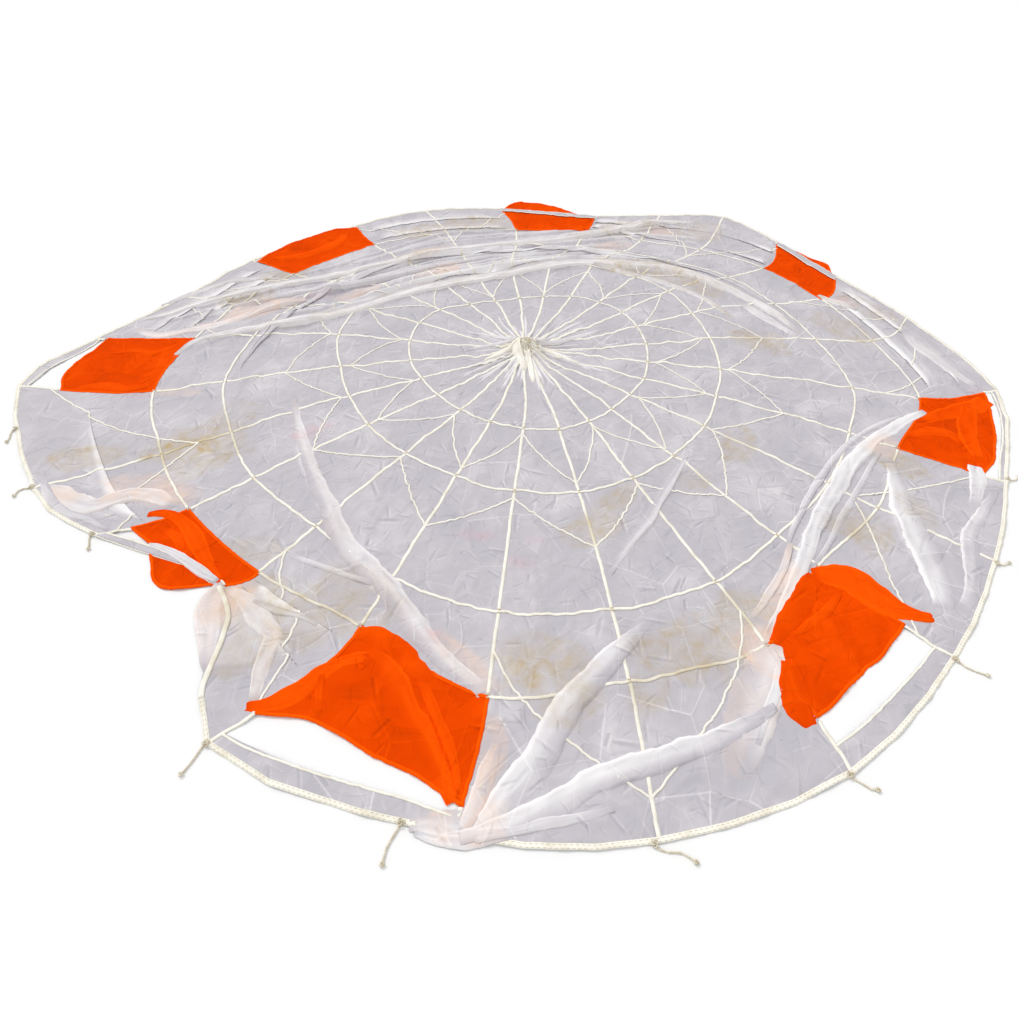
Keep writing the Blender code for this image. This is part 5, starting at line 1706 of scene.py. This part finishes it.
@dataclass
class Drapes:
    """Builds the folds that lie on the canopy, each a strip whose edges sink into the cloth."""

    relief: Relief
    finishes: dict
    step: float = 0.013
    columns: int = 13
    clear: float = 0.0028
    flatness: float = 0.30
    body_pale: float = 0.56

    def build(self) -> list[Piece]:
        """Builds and declares all of them."""
        made = []
        for number, drape in enumerate(DRAPES):
            piece, length = self.fold(drape, number)
            declared(piece)
            width = sheet_area(piece) / length
            made.append(piece)
        return made

    def fold(self, drape: Drape, number: int) -> tuple[Piece, float]:
        """Builds one fold.

        Args:
            drape: The fold.
            number: Its place in the list, which picks its part of the noise.

        Returns:
            The piece and its length.
        """
        noise = Noise(31)
        middle = smooth_route(metres(drape.middle), self.step)
        far = walked(middle)
        share = far / far[-1]
        side = left_of(np.gradient(middle, axis=0))
        width = np.interp(share, np.linspace(0, 1, len(drape.widths)), metres(drape.widths))
        offset = np.linspace(-1, 1, self.columns)
        broad = [noise.at(far * 5.5, number * 2.3 + edge) for edge in (0.0, 40.0)]
        close = [noise.at(far * 19, number * 3.1 + edge) for edge in (0.0, 40.0)]
        left, right = (1 + 0.28 * slow + 0.09 * quick for slow, quick in zip(broad, close))
        reach = np.where(offset[None, :] < 0, left[:, None], right[:, None])
        away = 0.5 * width[:, None] * offset[None, :] * reach
        place = middle[:, None, :] + side[:, None, :] * away[..., None]
        ends = smooth_step(0, 1, far / drape.ends[0]) * smooth_step(0, 1, (far[-1] - far) / drape.ends[1])
        drift = noise.at(far * 1.6, number * 1.7)[:, None]
        wave = np.cos(math.pi * drape.pleats * (offset[None, :] + 0.5 * drift) + 1.4 * drift)
        fine = noise.at(far[:, None] * 9, offset[None, :] * 2.5 + number * 5.1)
        dome = (1 - offset**6)[None, :] ** 0.5
        melt = 1 - smooth_step(-0.35, 0.95, drape.soft * offset)[None, :] if drape.soft else 1.0
        body = self.flatness * drape.height * (0.62 + 0.34 * wave + 0.25 * fine)
        over = self.relief.over(place)
        # Stiff folds bridge the small dents of the cloth under them.
        over = 0.7 * over + 0.3 * np.max(over[:, 3:-3], axis=1, keepdims=True)
        lift = (self.clear + body) * dome * melt * ends[:, None]
        sunk = (np.abs(offset) > 0.99)[None, :] | (ends[:, None] < 0.02)
        height = np.where(sunk, self.relief.rise(place) - 0.0006, over + lift)
        points = np.concatenate([place, np.maximum(height, 0.0004)[..., None]], -1).reshape(-1, 3)
        self.relief.settle(points)
        uv = np.stack([away, 0 * away + far[:, None]], -1).reshape(-1, 2)
        # One more layer shows along the turned edges, so they are the whitest part.
        turned = smooth_step(0.60, 0.86, -drape.soft * offset if drape.soft else np.abs(offset))[None, :]
        # Where its pleats and fine ripples raise it, it is painted paler: a painted highlight.
        tone = self.body_pale + 0.10 * wave + 0.16 * fine + (1 - self.body_pale) * turned
        fade = (ends[:, None] * melt * tone).reshape(-1)
        values = {"pale": 0.5 + 0.5 * np.clip(drape.pale * fade, 0, 1)}
        for mark, least in zip(Tint, (drape.stain, drape.peach, 0.0)):
            blotch = np.clip(0.6 + 0.8 * noise.at(far[:, None] * 4, offset[None, :] + number * 9), 0, 1)
            values[mark.value] = np.maximum(self.relief.tint(mark, place), least * blotch).reshape(-1)
        if drape.look is Look.ORANGE:
            values.update({mark.value: 0 * fade for mark in Tint})
        faces = grid_faces(len(middle), self.columns)
        piece = mesh_object("fold_" + drape.name, points, faces, self.finishes[drape.look], uv,
            values=values)
        return piece, float(far[-1])


# ---------------------------------------------------------------- suspension lines


@dataclass(frozen=True)
class Stub:
    """The cut end of a suspension line: its place on the skirt and its way (outward, sideways)."""

    name: str
    station: float
    route: tuple


STUBS = (
    Stub("line_b_inner", 0.46, ((0.030, 0.030), (0.040, 0.075), (0.060, 0.110))),
    Stub("line_b", 0.98, ((0.040, -0.015), (0.070, -0.012), (0.100, 0.020))),
    Stub("line_c", 1.96, ((0.030, 0.012), (0.055, 0.040), (0.085, 0.070))),
    Stub("line_e", 4.00, ((0.070, 0.026), (0.144, 0.050))),
    Stub("line_f", 4.81, ((0.050, -0.012), (0.100, -0.026), (0.165, -0.024))),
    Stub("line_g", 5.98, ((0.035, 0.050), (0.045, 0.110), (0.085, 0.160))),
    Stub("line_h", 6.99, ((0.045, 0.020), (0.084, 0.040), (0.100, 0.066))),
    Stub("line_i", 7.99, ((0.045, -0.004), (0.095, 0.010), (0.150, 0.034))),
    Stub("line_j", 8.99, ((0.034, 0.010), (0.056, 0.050))),
    Stub("line_k", 10.04, ((0.040, 0.015), (0.064, 0.070))),
)


class Growth:
    """A geometry-node tree that makes a mesh along paths, with its sizes as named inputs."""

    label: str
    sizes: dict

    def __init__(self, finish: Material) -> None:
        """Makes the tree: its inputs, what `shape` adds, and the material."""
        self.tree = bpy.data.node_groups.new(self.label, "GeometryNodeTree")
        face = self.tree.interface
        face.new_socket("Geometry", in_out="INPUT", socket_type="NodeSocketGeometry")
        self.sockets = {}
        for label, default in self.sizes.items():
            kind = "NodeSocketInt" if isinstance(default, int) else "NodeSocketFloat"
            socket = face.new_socket(label, in_out="INPUT", socket_type=kind)
            socket.default_value = default
            self.sockets[label] = socket.identifier
        face.new_socket("Geometry", in_out="OUTPUT", socket_type="NodeSocketGeometry")
        add = partial(add_node, self.tree)
        shape = self.shape(add, add("NodeGroupInput").outputs)
        real = add("GeometryNodeRealizeInstances", {"Geometry": shape})
        dressed = add("GeometryNodeSetMaterial", {"Geometry": real, "Material": finish})
        add("NodeGroupOutput", {"Geometry": dressed})

    def shape(self, add: Add, given: bpy.types.NodeOutputs) -> Node:
        """Adds the nodes that make the shape from the tree's inputs."""
        raise NotImplementedError

    def grow(self, name: str, paths: list, **sizes: float) -> Piece:
        """A plain mesh along paths.

        Args:
            name: The piece's name.
            paths: For each curve, its points, (n, 3).
            sizes: Values of the named inputs, with _ for each space.

        Returns:
            The piece.
        """
        curve = bpy.data.curves.new(name + "_way", "CURVE")
        curve.dimensions = "3D"
        for path in paths:
            spline = curve.splines.new("POLY")
            spline.points.add(len(path) - 1)
            spline.points.foreach_set("co",
                np.column_stack([path, np.ones(len(path))]).astype(np.float32).ravel())
        carrier = bpy.data.objects.new(name + "_way", curve)
        bpy.context.scene.collection.objects.link(carrier)
        modifier = carrier.modifiers.new("lay", "NODES")
        modifier.node_group = self.tree
        for label, value in sizes.items():
            modifier[self.sockets[label.replace("_", " ")]] = value
        bpy.context.view_layer.update()
        graph = bpy.context.evaluated_depsgraph_get()
        mesh = bpy.data.meshes.new_from_object(carrier.evaluated_get(graph))
        mesh.name = name
        mesh.shade_smooth()
        bpy.data.objects.remove(carrier, do_unlink=True)
        return placed(name, mesh)


class TwistedStrands(Growth):
    """Three twisted strands along each curve."""

    label = "twisted_line"
    sizes = {"Line radius": 0.003, "Strand radius": 0.00165, "Turns per metre": 55.0}

    def shape(self, add: Add, given: bpy.types.NodeOutputs) -> Node:
        """Adds the strands, swept along a tilted curve."""
        drawn = add("GeometryNodeResampleCurve", {"Curve": given["Geometry"], "Length": 0.003},
            mode="LENGTH")
        along = add("GeometryNodeSplineParameter").outputs["Length"]
        turns = add("ShaderNodeMath", {0: along, 1: given["Turns per metre"]}, operation="MULTIPLY")
        angle = add("ShaderNodeMath", {0: turns, 1: 2 * math.pi}, operation="MULTIPLY")
        turned = add("GeometryNodeSetCurveTilt", {"Curve": drawn, "Tilt": angle})
        offset = add("ShaderNodeMath", {0: given["Line radius"], 1: given["Strand radius"]},
            operation="SUBTRACT")
        strand = add("GeometryNodeCurvePrimitiveCircle",
            {"Resolution": 6, "Radius": given["Strand radius"]})
        ends = add("GeometryNodeCurvePrimitiveCircle", {"Resolution": 3, "Radius": offset})
        places = add("GeometryNodeCurveToPoints", {"Curve": ends}, mode="EVALUATED")
        copies = add("GeometryNodeInstanceOnPoints", {"Points": places, "Instance": strand})
        section = add("GeometryNodeRealizeInstances", {"Geometry": copies})
        return add("GeometryNodeCurveToMesh", {"Curve": turned, "Profile Curve": section,
            "Fill Caps": True})


class FelledSeam(Growth):
    """A flat felled seam along each curve, with a UV map along it."""

    label = "felled_seam"
    sizes = {"Width": 0.010, "Thickness": 0.0016}

    def shape(self, add: Add, given: bpy.types.NodeOutputs) -> Node:
        """Adds the seam, swept along an upright curve."""
        upright = add("GeometryNodeSetCurveNormal", {"Curve": given["Geometry"]}, mode="Z_UP")
        kept = add("GeometryNodeCaptureAttribute", {"Geometry": upright})
        kept.capture_items.new("FLOAT", "Walked")
        feed(self.tree, kept, {"Walked": add("GeometryNodeSplineParameter").outputs["Length"]})
        section = add("GeometryNodeCurvePrimitiveQuadrilateral", {"Width": given["Width"],
            "Height": given["Thickness"]})
        swept = add("GeometryNodeCurveToMesh", {"Curve": kept, "Profile Curve": section, "Fill Caps": True})
        place = add("ShaderNodeCombineXYZ", {"X": kept.outputs["Walked"]})
        return add("GeometryNodeStoreNamedAttribute", {"Geometry": swept, "Name": "tape", "Value": place},
            data_type="FLOAT2", domain="CORNER")


class Stitches(Growth):
    """Stitches along each curve, each a little off its line."""

    label = "stitches"
    sizes = {"Pitch": 0.030, "Stitch length": 0.016, "Stitch width": 0.0022, "Stitch height": 0.0012,
        "Stray": 0.12, "Seed": 4}

    def shape(self, add: Add, given: bpy.types.NodeOutputs) -> Node:
        """Adds a small block at each point of an upright curve."""
        upright = add("GeometryNodeSetCurveNormal", {"Curve": given["Geometry"]}, mode="Z_UP")
        points = add("GeometryNodeCurveToPoints", {"Curve": upright, "Length": given["Pitch"]},
            mode="LENGTH")
        size = add("ShaderNodeCombineXYZ", {"X": given["Stitch width"], "Y": given["Stitch height"],
            "Z": given["Stitch length"]})
        stitch = add("GeometryNodeMeshCube", {"Size": size})
        stray = add("ShaderNodeMath", {0: given["Stray"], 1: -1.0}, operation="MULTIPLY")
        turn = add("FunctionNodeRandomValue", {2: stray, 3: given["Stray"], "Seed": given["Seed"]})
        tilt = add("ShaderNodeCombineXYZ", {"Y": turn.outputs[1]})
        turned = add("FunctionNodeRotateRotation", {"Rotation": points.outputs["Rotation"],
            "Rotate By": tilt}, rotation_space="LOCAL")
        return add("GeometryNodeInstanceOnPoints", {"Points": points, "Instance": stitch,
            "Rotation": turned})


@dataclass
class Lines:
    """What is left of the suspension lines, on the floor outside the skirt."""

    lay: Lay
    finish: Material
    radius: float = 0.0055
    floor_gap: float = 0.0003
    tie_size: float = 0.017
    stop_size: float = 0.010
    start: float = 0.0009
    straight: float = 0.014
    nudge: float = 0.02
    tie_height: float = 0.0125
    stop_height: float = 0.0095

    def path(self, stub: Stub) -> Array:
        """The centreline of one stub."""
        knot = self.lay.rim(stub.station)[0]
        aside = self.lay.rim(stub.station + self.nudge)[0] - self.lay.rim(stub.station - self.nudge)[0]
        aside = unit(aside)
        out = np.array([aside[1], -aside[0]])
        lies = ((self.start, 0.0), (self.straight, 0.0), *stub.route)
        route = smooth_route([knot + a * out + b * aside for a, b in lies], 6 * self.radius)
        return np.column_stack([route, np.full(len(route), self.radius + self.floor_gap)])

    @staticmethod
    def knot(middle: Array, size: float, turn: float) -> Array:
        """The closed path of an overhand knot round a point, `size` metres to its outside."""
        t = np.linspace(0, 2 * math.pi, 40)
        far = 2 + np.cos(3 * t)
        x, y, z = far * np.cos(2 * t + turn), far * np.sin(2 * t + turn), 1.2 * np.sin(3 * t)
        return middle + size * np.stack([x, y, z], -1) / 3

    def build(self) -> list[Piece]:
        """Builds and declares all of them, each with its knots."""
        strands = TwistedStrands(self.finish)
        made = []
        for number, stub in enumerate(STUBS):
            path = self.path(stub)
            cord = strands.grow(stub.name + "_cord", [path], Line_radius=self.radius,
                Strand_radius=0.55 * self.radius)
            length = float(walked(path)[-1])
            tie = path[0] + (path[0] - path[2]) * 0.25
            tie[2] = self.tie_height
            stop = np.array([*path[-1][:2], self.stop_height])
            turns = [self.knot(tie, self.tie_size, number), self.knot(stop, self.stop_size, 2 * number)]
            knots = strands.grow(stub.name + "_knots", turns, Line_radius=0.0040, Strand_radius=0.0022)
            made += [declared(cord, stub.name), declared(knots)]
        return made


# ---------------------------------------------------------------- the gathered vent


@dataclass
class Gather:
    """The vent, drawn shut: a fluted cap of cloth with loops of line tied round it."""

    relief: Relief
    cream: Material
    line: Material
    radius: float = 0.118
    height: float = 0.066
    flutes: int = 17
    rings: int = 34
    sides: int = 170
    lean: tuple = (0.10, -0.18)
    ceiling: float = 0.138

    def crown(self, share: Array) -> Array:
        """How far the cap stands over the cloth, by the share of its radius."""
        lip = 0.010 * np.exp(-(((share - 0.34) / 0.10) ** 2))
        hollow = 0.026 * (1 - smooth_step(0.0, 0.30, share))
        return self.height * (1 - share) ** 1.15 + lip - hollow - 0.003 * smooth_step(0.85, 1.0, share)

    def over(self, x: Array, y: Array) -> Array:
        """The cap's height, without its flutes, at places."""
        away = np.hypot(x - VENT_SHIFT[0], y - VENT_SHIFT[1])
        return self.relief.rise(np.stack([x, y], -1)) + self.crown(np.clip(away / self.radius, 0, 1))

    def cap(self) -> Piece:
        """The fluted cap, open at its middle."""
        noise = Noise(77)
        share = np.linspace(0.03, 1, self.rings)[:, None]
        angle = (2 * math.pi * np.arange(self.sides) / self.sides)[None, :]
        round_x, round_y = np.cos(angle), np.sin(angle)
        rough = noise.at(2.2 * round_x + 1.5 * share, 2.2 * round_y + 4)
        uneven = noise.at(1.1 * round_x + 20, 1.1 * round_y)
        wave = np.cos(self.flutes * (angle + 0.9 * (1 - share)) + 2.6 * rough)
        reach = self.radius * share * (1 + 0.10 * uneven + 0.05 * wave * (1 - share))
        x, y = VENT_SHIFT[0] + reach * round_x, VENT_SHIFT[1] + reach * round_y
        depth = 0.0085 * smooth_step(0.06, 0.35, share) * (1 - 0.6 * smooth_step(0.7, 1.0, share))
        stand = self.crown(share) * (1 + 0.22 * uneven)
        height = self.relief.rise(np.stack([x, y], -1)) + stand + depth * wave
        height = np.clip(height, 0.001, self.ceiling)
        x, y = x + self.lean[0] * stand, y + self.lean[1] * stand
        points = np.stack([x, y, height], -1).reshape(-1, 3)
        faces = [face[::-1] for face in grid_faces(self.rings, self.sides, closed=True)]
        faces.append(list(range(self.sides)))
        # Flute crests are painted paler, flute hollows darker and the cloth near the open middle darker: painted
        # highlights and painted shade.
        pale = np.clip(0.72 + 0.42 * wave + 0.2 * rough - 0.6 * (1 - smooth_step(0.05, 0.30, share)), 0, 1)
        self.relief.settle(points)
        return mesh_object("apex_gather_cloth", points, faces, self.cream, points[:, :2],
            values={"pale": pale.reshape(-1)})

    def loops(self) -> Piece:
        """The vent lines, tied off in loops of several sizes that lie over the cap."""
        draw = np.random.default_rng(3)
        t = np.linspace(0, 2 * math.pi, 30)
        paths = []
        for index in range(10):
            turn = 2 * math.pi * (index + 0.6 * draw.random()) / 10
            wide, long, start = 0.010 + 0.012 * draw.random(), 0.045 + 0.045 * draw.random(), 0.012
            along = start + long * (1 - np.cos(t)) * 0.5
            across = wide * np.sin(t) * (1 + 0.3 * np.sin(2 * t))
            x = VENT_SHIFT[0] + 0.008 + along * math.cos(turn) - across * math.sin(turn)
            y = VENT_SHIFT[1] - 0.014 + along * math.sin(turn) + across * math.cos(turn)
            z = self.over(x, y) + 0.010 + 0.003 * np.sin(t + index)
            paths.append(np.stack([x, y, np.minimum(z, self.ceiling)], -1))
        t = np.linspace(0, 6 * math.pi, 84)
        far = 0.030 + 0.004 * np.sin(2.3 * t) + 0.0006 * t
        x, y = VENT_SHIFT[0] + 0.006 + far * np.cos(t), VENT_SHIFT[1] - 0.010 + far * np.sin(t)
        z = np.minimum(self.over(x, y) + 0.009 + 0.002 * np.sin(3 * t), self.ceiling)
        paths.append(np.stack([x, y, z], -1))
        return TwistedStrands(self.line).grow("apex_vent_lines", paths, Line_radius=0.0042,
            Strand_radius=0.0023)

    def build(self) -> list[Piece]:
        """Builds and declares both."""
        cap = declared(self.cap(), "apex_gather")
        sheet_area(cap) / (2 * self.radius)
        return [cap, declared(self.loops())]


# ---------------------------------------------------------------- camera, light and floor


@dataclass
class Studio:
    """The camera, the floor and the lights."""

    place: tuple = (-0.160, -4.409, 3.042)
    pitch: float = 0.85299
    roll: float = 0.04231
    focal_share: float = 620.18 / 1018
    sensor_mm: float = 36.0
    floor_size: float = 60.0
    sky_strength: float = 0.82

    def camera(self) -> None:
        """Puts the camera where a tall person stands in front of the canopy."""
        right = np.array([1.0, 0.0, 0.0])
        up = np.array([0.0, math.sin(self.pitch), math.cos(self.pitch)])
        ahead = np.array([0.0, math.cos(self.pitch), -math.sin(self.pitch)])
        cos, sin = math.cos(self.roll), math.sin(self.roll)
        turned = np.stack([cos * right + sin * up, cos * up - sin * right, -ahead], 1)
        data = bpy.data.cameras.new("camera")
        data.sensor_width = self.sensor_mm
        data.lens = self.sensor_mm * self.focal_share
        made = placed("camera", data)
        made.rotation_mode = "QUATERNION"
        made.rotation_quaternion = Matrix(turned.tolist()).to_quaternion()
        made.location = self.place
        bpy.context.scene.camera = made

    def floor(self) -> None:
        """The pale floor."""
        half = self.floor_size / 2
        corners = [(-half, -half, 0), (half, -half, 0), (half, half, 0), (-half, half, 0)]
        mesh_object("floor", np.array(corners), [[0, 1, 2, 3]], FloorPaint().make(), smooth=False)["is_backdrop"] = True

    def light(self, name: str, place: tuple, size: float, power: float) -> None:
        """One soft sun light that looks at the canopy's middle."""
        data = bpy.data.lights.new(name, "SUN")
        data.angle, data.energy = math.radians(size), power
        made = placed(name, data)
        made.location = place
        made.rotation_mode = "QUATERNION"
        made.rotation_quaternion = (-Vector(place)).to_track_quat("-Z", "Y")

    def build(self) -> None:
        """Everything, with a pale even sky."""
        self.camera()
        self.floor()
        self.light("key", (-5.0, 5.0, 7.0), 24.0, 1.35)
        world = bpy.data.worlds.new("sky")
        world.use_nodes = True
        back = world.node_tree.nodes["Background"]
        back.inputs["Color"].default_value = (1, 1, 1, 1)
        back.inputs["Strength"].default_value = self.sky_strength
        bpy.context.scene.world = world
        bpy.context.scene.view_settings.view_transform = "Standard"


def log_pieces(pieces: list[Piece]) -> None:
    """Logs each piece that was built."""
    for piece in pieces:
        LOG.info("%s: %d faces", piece.name, len(piece.data.polygons))


def main() -> None:
    """Builds the canopy's looks, piece by piece."""
    logging.basicConfig(level=logging.INFO, format="%(name)s: %(message)s", stream=sys.stdout)
    Studio().build()
    white = SheerNylon("White nylon taffeta", Hue.SINGLE, Hue.DEEP, Hue.DOUBLED_AND_HIGHLIGHT).make()
    orange = SheerNylon("Orange nylon taffeta", Hue.ORANGE, Hue.ORANGE_DEEP, Hue.ORANGE_BRIGHT,
        dent_shade=0.30, tilt_shade=0.14, line_shade=0.24, gloss=0.04, ior=1.1).make()
    cream = SheerNylon("Gathered nylon taffeta", Hue.CREAM, Hue.CREAM_DEEP, Hue.CREAM_LIGHT,
        dent_shade=0.15, tilt_shade=0.03, line_shade=0.10).make()
    tape, line = WovenTape("Woven nylon tape").make(), TwistedLine().make()
    seam, thread = WovenTape("Felled nylon seam", Hue.SEAM, 6.0).make(), TackThread().make()
    lay, relief = Lay(), Relief()
    log_pieces(Lines(lay, line).build())
    Crumpler(relief).fill()
    Dyer(relief).fill()
    cloth, tapes = Cloth(lay, relief), Tapes(lay, relief, tape)
    log_pieces(Gores(cloth, white).build())
    log_pieces(SlotCloth(cloth, orange, white, tape).build())
    log_pieces(tapes.build())
    log_pieces(Gather(relief, cream, line).build())
    log_pieces(Sewing(lay, relief, seam, thread).build(tapes))
    relief.close_top()
    log_pieces(Drapes(relief, {Look.WHITE: white, Look.CREAM: cream, Look.ORANGE: orange}).build())
    log_pieces([tapes.over_flap()])
    boxes = {"cad": CAD_BOX, "visual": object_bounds()}
    {name: [list(corner) for corner in box] for name, box in boxes.items()}


if __name__ == "__main__":
    main()
